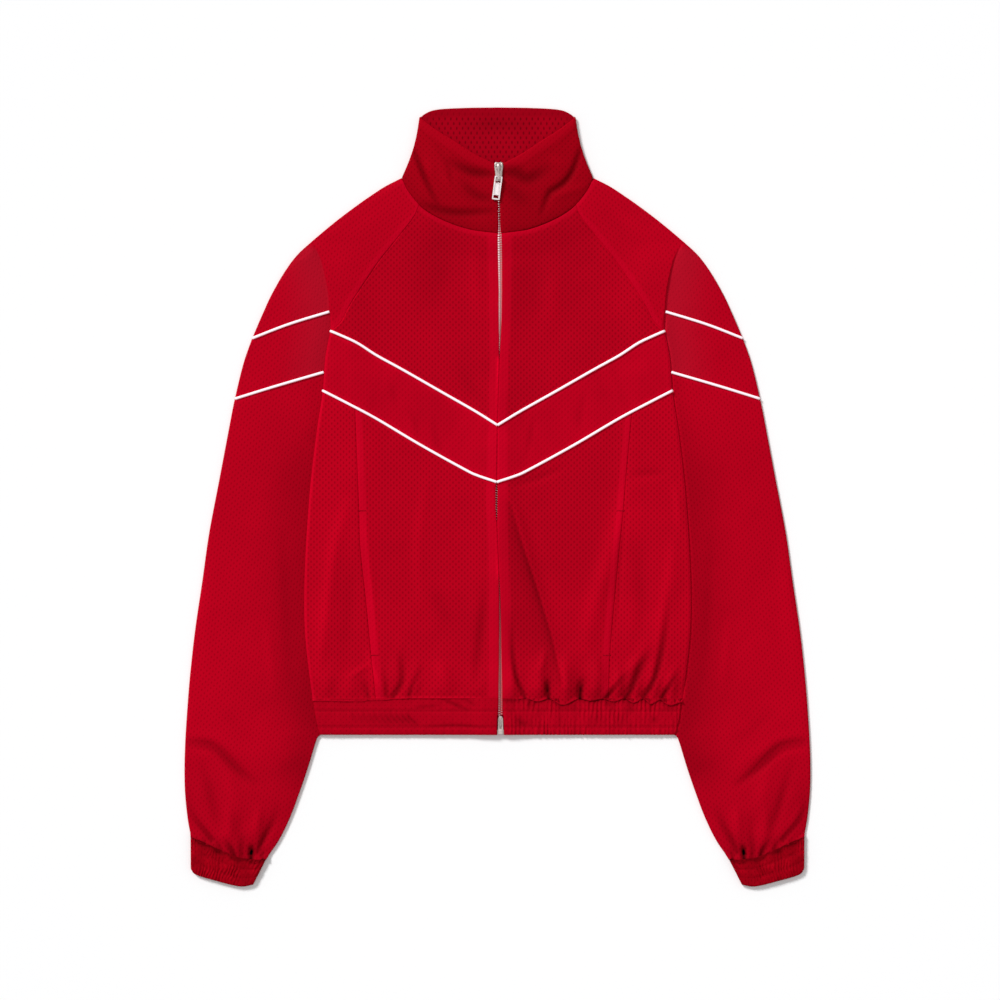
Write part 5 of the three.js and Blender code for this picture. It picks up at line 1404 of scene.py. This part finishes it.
def cuff_top(x, y, u, v):
    comb = cuff_gathers(x, y, u)
    rows = sum(bell((v - at) / 0.05) for at in CUFF_STITCH_SHARES)
    inside = ease(0, 0.04, u) * ease(1, 0.96, u)
    rolled = 0.5 * np.sin(np.pi * np.clip(v, 0, 1)) ** 0.5
    return (TWO_RIBS + 0.8 * np.sin(np.pi * u) + 0.7 + rolled + CUFF_GATHER_HEIGHT * comb * inside
            + 0.3 * noise(x, y, 4, 6.2) * inside - 0.5 * rows)


# Painted shade in the gathers' valleys, under the sleeve's lobes and towards the seam, with random blotches
# of tone.
def cuff_shade(x, y, u, v, away):
    blotches = 0.16 * noise(x + 0.5 * y, y * 0.5 - 0.4 * x, 7, 14.2) + 0.08 * noise(x, y, 3.5, 15.1)
    gather_shade = 0.09 * np.clip(-cuff_gathers(x, y, u), -0.5, 1.2)
    under = np.exp(-np.maximum(away["v1"] - cuff_lobe(u), 0) / 1.8)
    return blotches + gather_shade + 0.42 * under + 0.10 * np.exp(-away["v1"] / 7)


def cuff(side, sign):
    place = cuff_place()
    back_height = lambda x, y, u, v: RIB + 0.08 * np.cos(2 * np.pi * 14 * u)
    front_piece = panel(
        f"cuff_knit_{side}", sign, steps((1, 190)), CUFF_FRONT_SHARE * steps((0.08, 3), (0.92, 28), (1, 3)),
        place, cuff_top, MATERIAL["cuff"], thick=RIB,
        dips={"u0": (0.6, 1.2), "u1": (0.6, 1.2), "v0": (0.8, 1.2)}, shade=cuff_shade, bulge=0.25)
    back_piece = panel(
        f"cuff_knit_back_{side}", sign, steps((1, 60)), 0.98 * steps((1, 10)), place, back_height,
        MATERIAL["cuff"], thick=RIB, dips={}, bulge=0.1)
    dress(front_piece, [f"cuff_front_{side}"])
    dress(back_piece, [f"cuff_back_{side}"])
    declare_later(front_piece)
    declare_later(back_piece)


# The collar: one doubled strip from zip to zip, folded at both sides

def collar():
    front_edge, back_edge = Line(COLLAR_FRONT_TOP), Line(COLLAR_BACK_TOP)
    ups = np.concatenate([[0.008, 0.02, 0.04], np.linspace(0.07, 0.93, 42), [0.955, 0.975, 0.99, 1.0]])
    front_shares = np.concatenate([[0, 0.01, 0.025], np.linspace(0.04, 0.97, 70)])
    back_shares = np.linspace(0.95, 0.02, 40)

    def spot(low, high, share, up):
        (ax, ay), (bx, by) = low(share), high(share)
        bow = COLLAR_SIDE_BOW * np.sin(np.pi * up)
        return mix(ax, bx, up) - bow * share**3, mix(ay, by, up)

    def half(side, sign):
        up, share = ups[:, None], front_shares[None, :]
        flat_x, y = spot(NECK, front_edge, share, up)
        x = flat_x + (sign * zip_x(y) + zip_gap(y)) * (1 - share) ** 3
        crease, painted_shade = relief(COLLAR_RELIEF[side], flat_x, y)
        soft = ease(0, 0.06, up) * ease(1, 0.9, up)
        z = collar_top(share, up) + crease * soft * ease(0, 0.05, share)
        z = z + 0.25 * noise(flat_x, y, 22, 8.8 if side == "left" else 9.6)
        z = z - 0.9 * np.exp(-33 * up) - 0.5 * np.exp(-44 * (1 - up)) - 0.4 * np.exp(-85 * share)
        z = z + 0.5 * bell((up - 0.9) / 0.07)
        outer, insides = [np.stack([x, y, z], axis=-1)], [np.zeros(x.shape)]
        # Painted shade in the collar's creases and painted light on its ridges.
        tones = [(1.25 if side == "right" else 1.1) * painted_shade * mix(0.5, 1, soft)]
        inner = [outer[0] - [0, 0, RIB]]
        # rolled over at the side
        fold_x, fold_y = spot(NECK, front_edge, 1.0, up)
        high = collar_top(1.0, up) / 2
        turn = np.radians(np.linspace(90, -90, 9)[1:-1])[None, :]
        level_y = fold_y + 0 * turn
        outer_x, inner_x = fold_x - 1.2 * (1 - np.cos(turn)), fold_x - 3 + 0.7 * np.cos(turn)
        outer.append(np.stack([outer_x, level_y, high * (1 + np.sin(turn))], axis=-1))
        inner.append(np.stack([inner_x, level_y, high + 0.25 * np.sin(turn)], axis=-1))
        tones.append(np.zeros(level_y.shape))
        insides.append(np.zeros(level_y.shape))
        # the back of the collar, seen from its inner side
        share = back_shares[None, :]
        x, y = spot(NECK_B, back_edge, share, up)
        lap = 0.35 * noise(x, y, 30, 12.1) * ease(0.95, 0.8, share)
        outer.append(np.stack([x, y, np.zeros(x.shape)], axis=-1))
        inner.append(np.stack([x, y, RIB + 0.5 * lap + 0.175], axis=-1))
        # Painted shade inside the back of the collar, deepest high in the middle and towards the sides, with
        # random tone.
        tones.append(0.20 * bell((y - 411) / 9) * bell(x / 34) + 0.06 * noise(x, y, 24, 19.0)
                     + 0.10 * ease(0.5, 0.95, share))
        insides.append(np.ones(x.shape))
        flip = np.array([sign, 1, 1])
        return (np.hstack(outer) * flip, np.hstack(inner) * flip, np.hstack(tones), np.hstack(insides))

    outer_r, inner_r, tones_r, inside_r = half("right", -1)
    outer_l, inner_l, tones_l, inside_l = half("left", 1)
    y = mix(354, COLLAR_TOP_Y, ups)
    middle = np.stack([0 * y, y, 0 * y], axis=-1)[:, None]
    upper = np.hstack([outer_r, middle, outer_l[:, ::-1]])
    lower = np.hstack([inner_r, middle + [0, 0, RIB + 0.17], inner_l[:, ::-1]])
    # The middle column gets the same painted shade high in the middle.
    tones = np.hstack([tones_r, 0.20 * bell((y - 411) / 9)[:, None], tones_l[:, ::-1]])
    inside = np.hstack([inside_r, np.ones((len(y), 1)), inside_l[:, ::-1]])
    height = np.broadcast_to(ups[:, None], inside.shape)
    # Painted shade on the outer collar just above the neck seam.
    shade = tones + 0.10 * ease(0.25, 0.02, height) * (1 - inside)
    piece = shell("collar_knit", upper, lower, MATERIAL["collar"], upper[..., :2],
                  {"doubled": ease(0.86, 0.90, height) * 0.8, "shade": shade}, bulge=0.75)
    piece.data.materials.append(MATERIAL["neck_inside"])
    centres = np.zeros(len(piece.data.polygons) * 3)
    piece.data.polygons.foreach_get("center", centres)
    normals = np.zeros(len(piece.data.polygons) * 3)
    piece.data.polygons.foreach_get("normal", normals)
    low = centres.reshape(-1, 3)[:, 2] < 3.2 * MM
    facing_up = normals.reshape(-1, 3)[:, 2] > 0.3
    piece.data.polygons.foreach_set("material_index", (low & facing_up).astype(int))
    piece["cut_area"] = 0.0414
    piece["cut_size"] = [0.52, 0.082]
    dress(piece, ["collar"])
    declare_later(piece)


# Things repeated along lines, made with geometry nodes

def repeating_tree(name, inputs):
    lines = [("Geometry", "NodeSocketGeometry", None), *inputs, ("Material", "NodeSocketMaterial", None)]
    return node_group(name, "GeometryNodeTree", lines, [("Geometry", "NodeSocketGeometry")])


def along_lines(tree, given, result, shape, spacing):
    """Puts the shape at even steps along the input's lines, turned along them, as faces with a material."""
    curve = node(tree, "GeometryNodeMeshToCurve", {"Mesh": given["Geometry"]}).outputs[0]
    points = node(tree, "GeometryNodeResampleCurve", {"Curve": curve, "Length": spacing}, mode="LENGTH")
    tangent = node(tree, "GeometryNodeInputTangent").outputs[0]
    turned = node(tree, "FunctionNodeAlignRotationToVector", {"Vector": tangent}, axis="X").outputs[0]
    copies = node(tree, "GeometryNodeInstanceOnPoints",
                  {"Points": points.outputs[0], "Instance": shape, "Rotation": turned})
    real = node(tree, "GeometryNodeRealizeInstances", {"Geometry": copies.outputs[0]}).outputs[0]
    done = node(tree, "GeometryNodeSetMaterial", {"Geometry": real, "Material": given["Material"]}).outputs[0]
    tree.links.new(done, result["Geometry"])


def make_stitch_tree():
    tree, given, result = repeating_tree("stitch_row", [
        ("Spacing", "NodeSocketFloat", 0.0026), ("Length", "NodeSocketFloat", 0.0019),
        ("Thread", "NodeSocketFloat", 0.0006)])
    bead = node(tree, "GeometryNodeMeshIcoSphere", {"Radius": 0.5, "Subdivisions": 1}).outputs[0]
    size = vector_of(tree, given["Length"], given["Thread"], given["Thread"])
    stitch = node(tree, "GeometryNodeTransform", {"Geometry": bead, "Scale": size}).outputs[0]
    along_lines(tree, given, result, stitch, given["Spacing"])
    return tree


def make_tooth_tree():
    """A tooth is a narrow bar across the chain with a rounded head at its inner end."""
    tree, given, result = repeating_tree("zip_teeth", [
        ("Pitch", "NodeSocketFloat", 0.0023), ("Reach", "NodeSocketFloat", 0.0024),
        ("Side", "NodeSocketFloat", 1.0), ("Width", "NodeSocketFloat", 0.0012),
        ("Height", "NodeSocketFloat", 0.0019)])
    times = lambda value, factor: maths(tree, "MULTIPLY", value, factor)
    width, reach, high = given["Width"], given["Reach"], given["Height"]
    half = times(times(reach, 0.5), given["Side"])
    bar_size = vector_of(tree, times(width, 0.55), reach, times(high, 0.7))
    bar = node(tree, "GeometryNodeMeshCube", {"Size": bar_size}).outputs[0]
    bar_spot = vector_of(tree, 0.0, half, 0.0)
    bar_moved = node(tree, "GeometryNodeTransform", {"Geometry": bar, "Translation": bar_spot}).outputs[0]
    bead = node(tree, "GeometryNodeMeshUVSphere", {"Segments": 8, "Rings": 5, "Radius": 0.5}).outputs[0]
    head_size = vector_of(tree, times(width, 1.2), times(reach, 0.75), times(high, 1.3))
    head_spot = vector_of(tree, 0.0, times(half, 1.25), times(high, 0.08))
    head_inputs = {"Geometry": bead, "Translation": head_spot, "Scale": head_size}
    head = node(tree, "GeometryNodeTransform", head_inputs).outputs[0]
    both = node(tree, "GeometryNodeJoinGeometry")
    tree.links.new(bar_moved, both.inputs[0])
    tree.links.new(head, both.inputs[0])
    along_lines(tree, given, result, both.outputs[0], given["Pitch"])
    return tree


def repeat_along(name, lines, tree, values):
    """Runs a tree on lines of points in mm and keeps the result as a plain mesh."""
    points, edges = [], []
    for line in lines:
        start = len(points)
        points += [tuple(np.asarray(p, float) * MM) for p in line]
        edges += [(i, i + 1) for i in range(start, len(points) - 1)]
    mesh = bpy.data.meshes.new(name)
    mesh.from_pydata(points, edges, [])
    source = in_scene(name, mesh)
    modifier = source.modifiers.new("repeat", "NODES")
    modifier.node_group = tree
    for item in tree.interface.items_tree:
        if item.item_type == "SOCKET" and item.in_out == "INPUT" and item.name in values:
            modifier[item.identifier] = values[item.name]
    bpy.context.view_layer.update()
    result = evaluated_mesh(source)
    source.modifiers.remove(modifier)
    source.data = result
    result.name = name
    return source


STITCH_TREE = make_stitch_tree()
TOOTH_TREE = make_tooth_tree()


def stitching(name, lines, spacing, length, thread=0.55):
    piece = repeat_along(name, lines, STITCH_TREE, {
        "Spacing": spacing * MM, "Length": length * MM, "Thread": thread * MM,
        "Material": MATERIAL["thread"]})
    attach(piece, "jacket")


def waist_stitches(side, sign, place):
    lines = []
    for y in WAIST_STITCH_Y:
        v = (y - HEM_Y) / (WAIST_Y - HEM_Y)
        u = np.linspace(0.03, 0.97, 420)
        x, y_line = place(u, np.full(u.shape, v))
        z = waistband_top(side, x, y_line, u) + 0.12
        lines.append(np.stack([sign * x, y_line, z], axis=-1))
    stitching(f"waistband_stitches_{side}", lines, spacing=2.9, length=2.1)


def pocket_stitches(side, sign, seam):
    """A bar tack at each end of the pocket's mouth."""
    lines = []
    for at in (seam.share_at(1, -15), seam.share_at(1, -174)):
        x0, y0 = (float(k) for k in seam(at))
        t = np.linspace(-7.5, 0.3, 12)
        tack_y = y0 + 0.4 * np.where(np.arange(12) % 2, 1, -1)
        lines.append(np.stack([sign * (x0 + t), tack_y, body_top(side, x0 + t, tack_y) + 0.15], axis=-1))
    stitching(f"pocket_stitches_{side}", lines, spacing=0.9, length=1.2, thread=0.7)


def cuff_stitches(side, sign):
    place = cuff_place()
    lines = []
    for row in CUFF_STITCH_SHARES:
        u = np.linspace(0.03, 0.97, 200)
        v = CUFF_FRONT_SHARE * row
        x, y = place(u, np.full(u.shape, v))
        lines.append(np.stack([sign * x, y, cuff_top(x, y, u, v) + 0.12], axis=-1))
    stitching(f"cuff_stitches_{side}", lines, spacing=2.4, length=1.7, thread=0.5)


# The zip

def zip_parts():
    chain_ends, columns = SLIDER["web"] / 2, 8
    for side, sign in SIDES:
        ys = np.concatenate([np.linspace(-261, -240.3, 8), np.linspace(-239.7, 358.5, 200),
                             np.linspace(359.5, 364, 4)])
        inner = np.where(ys < -240, BOX["width"] / 2 + 0.4, np.where(ys > 359, chain_ends + 0.5, 0.15))
        share = np.linspace(0, 1, columns)[None, :]
        x = zip_x(ys)[:, None] + sign * mix(inner[:, None], TAPE_HALF, share)
        y = np.repeat(ys[:, None], columns, axis=1)
        z = np.repeat(zip_middle(ys)[:, None], columns, axis=1) + TAPE_THICK / 2
        upper = np.stack([x, y, z], axis=-1)
        tape = shell(f"zip_tape_{side}", upper, upper - [0, 0, TAPE_THICK], MATERIAL["tape"], upper[..., :2],
                     {"doubled": np.zeros(x.shape), "shade": np.zeros(x.shape)})
        tape["cut_area"] = 0.013 * 0.625
        tape["cut_size"] = [0.0135, 0.626]
        half = 0 if side == "left" else TOOTH_PITCH / 2
        spans = {"lower": [(-239.8 + half, 161)], "upper": [(161.7 + half, 345.4), (360.8 + half, 363.8)]}
        rows = []
        for level in spans:
            lines = []
            for start, stop in spans[level]:
                line_y = np.linspace(start, stop, max(int((stop - start) / 2), 3))
                line_x = zip_x(line_y) + sign * np.where(line_y > 359, chain_ends + 0.4, -0.2)
                lines.append(np.stack([line_x, line_y, zip_middle(line_y) + 0.1], axis=-1))
            # Each side and stretch of teeth takes its own copy of the metal, with painted light and shade.
            teeth = repeat_along(f"zip_teeth_{side}_{level}", lines, TOOTH_TREE, {
                "Pitch": TOOTH_PITCH * MM, "Reach": TOOTH_REACH[side] * MM, "Side": float(sign),
                "Width": 1.0 * MM, "Height": 1.7 * MM, "Material": MATERIAL[f"teeth_{side}_{level}"]})
            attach(teeth, "jacket")
            rows.append(teeth)
        dress(tape, [f"zip_{side}"])
        declare_later(tape, rows)


def shift_by(x, y, z):
    return Matrix.Translation((x * MM, y * MM, z * MM))


def plate(name, outline, holes, low, high, material, bevel):
    """A flat piece with holes and rounded edges, from its outline in mm."""
    curve = bpy.data.curves.new(name, "CURVE")
    curve.dimensions = "2D"
    curve.fill_mode = "BOTH"
    for loop in [outline, *holes]:
        spline = curve.splines.new("POLY")
        spline.points.add(len(loop) - 1)
        spline.points.foreach_set("co", [k for x, y in loop for k in (x * MM, y * MM, 0, 1)])
        spline.use_cyclic_u = True
    curve.extrude = ((high - low) / 2 - bevel) * MM
    curve.bevel_depth = bevel * MM
    curve.bevel_resolution = 1
    curve.offset = -bevel * MM
    holder = in_scene(name, curve)
    mesh = evaluated_mesh(holder)
    bpy.data.objects.remove(holder)
    mesh.transform(shift_by(0, 0, (low + high) / 2))
    mesh.materials.clear()
    mesh.materials.append(material)
    return mesh


def rounded(x0, x1, y0, y1, radius):
    """A rectangle with rounded corners, five points to a corner."""
    loop = []
    for cx, cy, start in ((x1 - radius, y1 - radius, 0), (x0 + radius, y1 - radius, 90),
                          (x0 + radius, y0 + radius, 180), (x1 - radius, y0 + radius, 270)):
        for a in np.radians(np.linspace(start, start + 90, 5)):
            loop.append((cx + radius * np.cos(a), cy + radius * np.sin(a)))
    return loop


def finished(build, name):
    """The closed body as a mesh, with doubled points joined and normals outward."""
    build.normal_update()
    bmesh.ops.remove_doubles(build, verts=build.verts, dist=1e-6)
    bmesh.ops.recalc_face_normals(build, faces=build.faces)
    mesh = bpy.data.meshes.new(name)
    build.to_mesh(mesh)
    build.free()
    return mesh


def joined(name, *groups):
    """Closed bodies as one object, from lists of meshes that share a material."""
    build = bmesh.new()
    for index, (meshes, _) in enumerate(groups):
        for mesh in meshes:
            first = len(build.faces)
            build.from_mesh(mesh)
            build.faces.ensure_lookup_table()
            for face in build.faces[first:]:
                face.material_index = index
    mesh = finished(build, name)
    mesh.materials.clear()
    for _, material in groups:
        mesh.materials.append(material)
    mesh.polygons.foreach_set("use_smooth", [True] * len(mesh.polygons))
    mesh.set_sharp_from_angle(angle=np.radians(32))
    return in_scene(name, mesh)


def domed(outline, high, crown):
    """A closed dome over an outline, flat below, as a mesh."""
    rings = 6
    build = bmesh.new()
    outline = np.array(outline, float)
    centre = outline.mean(axis=0)
    levels = []
    for k in range(rings):
        a = np.pi / 2 * k / rings
        ring = centre + (outline - centre) * np.cos(a) ** 0.6
        levels.append([build.verts.new((x * MM, y * MM, (high + crown * np.sin(a)) * MM)) for x, y in ring])
    tip = build.verts.new((centre[0] * MM, centre[1] * MM, (high + crown) * MM))
    base = [build.verts.new((x * MM, y * MM, (high - 0.3) * MM)) for x, y in outline]
    count = len(outline)
    for lower, upper in zip([base, *levels], levels):
        for i in range(count):
            j = (i + 1) % count
            build.faces.new((lower[i], lower[j], upper[j], upper[i]))
    for i in range(count):
        build.faces.new((levels[-1][i], levels[-1][(i + 1) % count], tip))
    build.faces.new(base[::-1])
    return finished(build, "dome")


def arch(width):
    """The slider's bridge: a bar bent over the hollow that holds the tab."""
    outer = Line([[-10.3, -0.2], [-10.3, 2.2], [-8.8, 3.45], [-4.5, 3.6], [0, 3.3], [5, 1.9], [8.6, -0.2]])
    inner = Line([[-8.8, -0.2], [-8.7, 1.9], [-8.0, 2.45], [-5.4, 2.55], [-3.2, 2.4], [-2.6, 1.6],
                  [-2.5, -0.2]])
    build = bmesh.new()
    rings = []
    for t in np.linspace(0, 1, 24):
        (oy, oz), (iy, iz) = outer(t), inner(t)
        ring = []
        for x, k in ((-0.5, 0.3), (-0.35, 0), (0.35, 0), (0.5, 0.3), (0.5, 1), (-0.5, 1)):
            y, z = mix(oy, iy, k), mix(oz, iz, k)
            ring.append(build.verts.new((x * width * MM, y * MM, z * MM)))
        rings.append(ring)
    for a, b in zip(rings, rings[1:]):
        for i in range(6):
            j = (i + 1) % 6
            build.faces.new((a[i], a[j], b[j], b[i]))
    build.faces.new(rings[0])
    build.faces.new(rings[-1][::-1])
    return finished(build, "arch")


def oval(x, y, wide, long, count):
    turns = np.linspace(0, 2 * np.pi, count, endpoint=False)
    return [(x + wide * np.cos(a), y + long * np.sin(a)) for a in turns]


def slider_and_tab():
    top = float(collar_top(0.0, 1.0)) + LAY
    thick, web = SLIDER["plate"], SLIDER["web"] / 2
    bottom = float(zip_middle(SLIDER["y"])) - CHAIN_HIGH / 2 - LAY - thick
    half_outline = [(0, -10.5), (2.8, -10.5), (3.5, -9.6), (3.7, -4), (4.0, 0), (4.6, 4), (4.9, 6.8),
                    (4.7, 8.8), (3.8, 10.2), (2.7, 10.6), (1.6, 10.3), (0.7, 10.0)]
    outline = half_outline + [(-x, y) for x, y in half_outline[:0:-1]]
    metal = MATERIAL["slider"]
    plates = [plate("upper_plate", outline, [], top, top + thick, metal, 0.3),
              plate("lower_plate", outline, [], bottom, bottom + thick, metal, 0.3),
              plate("web", rounded(-web, web, 3.8, 8, 0.5), [], bottom + 0.6, top + 0.6, metal, 0.05)]
    bridge = arch(SLIDER["bridge"])
    bridge.transform(shift_by(0, 0, top + thick))
    horns = [domed(oval(sign * 3.4, 7.2, 1.3, 2.4, 16), top + 1.1, 0.7) for sign in (1, -1)]
    hump = domed(oval(0, 4.2, 2.5, 4.9, 16), top + 1.1, 1.7)
    # The plates take the darker copy of the metal, which is painted shade.
    body = joined("zip_slider_metal", (plates, MATERIAL["slider_plate"]), ([bridge, *horns, hump], metal))
    body.data.transform(shift_by(SLIDER["x"], SLIDER["y"], 0))
    dress(body, ["zip_slider"])

    half, inside = TAB["width"] / 2, TAB["width"] / 2 - TAB["rim"]
    window_end, (slot_start, slot_end) = TAB["window_end"], TAB["slot"]
    window = rounded(-inside, inside, -window_end, -1.1, 0.6)
    slot = rounded(-inside, inside, -slot_end, -slot_start, 0.5)
    recess = rounded(-inside, inside, -slot_start + 0.9, -window_end - 0.9, 0.4)
    ring = plate("tab_ring", rounded(-half, half, -TAB["length"], 0, 1.0), [window, slot, recess],
                 -0.55, 0.75, MATERIAL["tab"], 0.18)
    inset = plate("tab_panel", rounded(-inside - 0.4, inside + 0.4, -slot_start, -window_end, 0.3), [],
                  -0.45, 0.2, MATERIAL["tab"], 0.05)
    tab = joined("pull_tab_metal", ([ring], MATERIAL["tab"]), ([inset], MATERIAL["tab_panel"]))
    turned = Matrix.Rotation(np.radians(TAB["turn"]), 4, "Z")
    dropped = Matrix.Rotation(np.radians(TAB["drop"]), 4, "X")
    pivot = shift_by(SLIDER["x"], SLIDER["y"] + PIVOT["y"], top + thick + PIVOT["z"])
    tab.data.transform(pivot @ turned @ dropped @ shift_by(0, 0.55, 0))
    dress(tab, ["pull_tab"], "pull_tab")


def zip_box():
    """The box at the lower end, with the pin that stands in it."""
    z = float(zip_middle(HEM_Y))
    half, top = BOX["width"] / 2, BOX["top"]
    narrow = 0.66 * half
    half_outline = [(half, HEM_Y + 0.6), (half, HEM_Y + 4.6), (narrow + 0.3, HEM_Y + 6.4),
                    (narrow, top - 2.2), (narrow - 1.2, top)]
    outline = [(-half, HEM_Y + 0.6), *half_outline, *[(-x, y) for x, y in half_outline[:0:-1]]]
    opening = rounded(1 - narrow, narrow - 1, HEM_Y + 6.6, top - 2.2, 0.8)
    plate_metal, metal = MATERIAL["slider_plate"], MATERIAL["slider"]
    # The ring takes the darker copy of the slider metal, which is painted shade.
    ring = plate("box_ring", outline, [opening], z - 0.4, z + 1.4, plate_metal, 0.2)
    base = plate("box_base", rounded(0.4 - narrow, narrow - 0.4, HEM_Y + 4, top - 1.4, 0.6), [],
                 z - 0.6, z - 0.3, metal, 0.05)
    pin = domed(oval(0.1, top - 9.4, 0.6, 5.6, 14), z + 0.1, 1.5)
    lip = plate("box_lip", rounded(0.4 - half, half - 0.4, HEM_Y + 0.3, HEM_Y + 4.2, 0.5), [],
                z - 0.2, z + 1.9, metal, 0.25)
    box = joined("zip_box_metal", ([ring], plate_metal), ([pin, lip], metal), ([base], MATERIAL["tape"]))
    box.data.transform(shift_by(BOX["x"], 0, 0))
    dress(box, ["zip_box"])


for side, sign in SIDES:
    panel_seam = front(side, sign)
    waist_stitches(side, sign, waistband(side, sign))
    pocket_stitches(side, sign, panel_seam)
    sleeve(side, sign)
    cuff_stitches(side, sign)
back()
collar()
zip_parts()
slider_and_tab()
zip_box()


# Table, light and camera

def stage():
    white = {"Base Color": (0.985, 0.985, 0.988, 1), "Roughness": 0.9, "Specular IOR Level": 0.0}
    half = 4000
    corners = [(x, y, -0.3) for x, y in ((-half, -half), (half, -half), (half, half), (-half, half))]
    pale, _, _ = new_material("pale_table", white)
    mesh_object("table", corners, [(0, 1, 2, 3)], pale, smooth=False)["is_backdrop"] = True
    world = bpy.data.worlds.new("studio")
    bpy.context.scene.world = world
    world.use_nodes = True
    set_values(world.node_tree.nodes["Background"], {"Color": (1, 1, 1, 1), "Strength": 0.40})
    window = bpy.data.lights.new("window", "SUN")
    window.energy = 2.7
    window.angle = np.radians(16)
    in_scene("window", window).rotation_euler = (np.radians(-38), np.radians(-40), 0)
    box = bpy.data.lights.new("overhead", "AREA")
    box.size = 2.0
    box.energy = 1.15 * np.pi * box.size**2
    in_scene("overhead", box).location = (0, 0, 3.6)
    lens = bpy.data.cameras.new("camera")
    lens.lens = 100
    lens.sensor_width = 36
    lens.clip_end = 50
    camera = in_scene("camera", lens)
    camera.location = (2.75 * MM, -3.3 * MM, 1.1 * lens.lens / lens.sensor_width + 0.004)
    bpy.context.scene.camera = camera
    bpy.context.scene.view_settings.view_transform = "Standard"


stage()
bpy.context.view_layer.update()
visual_box = [list(corner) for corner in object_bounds()]
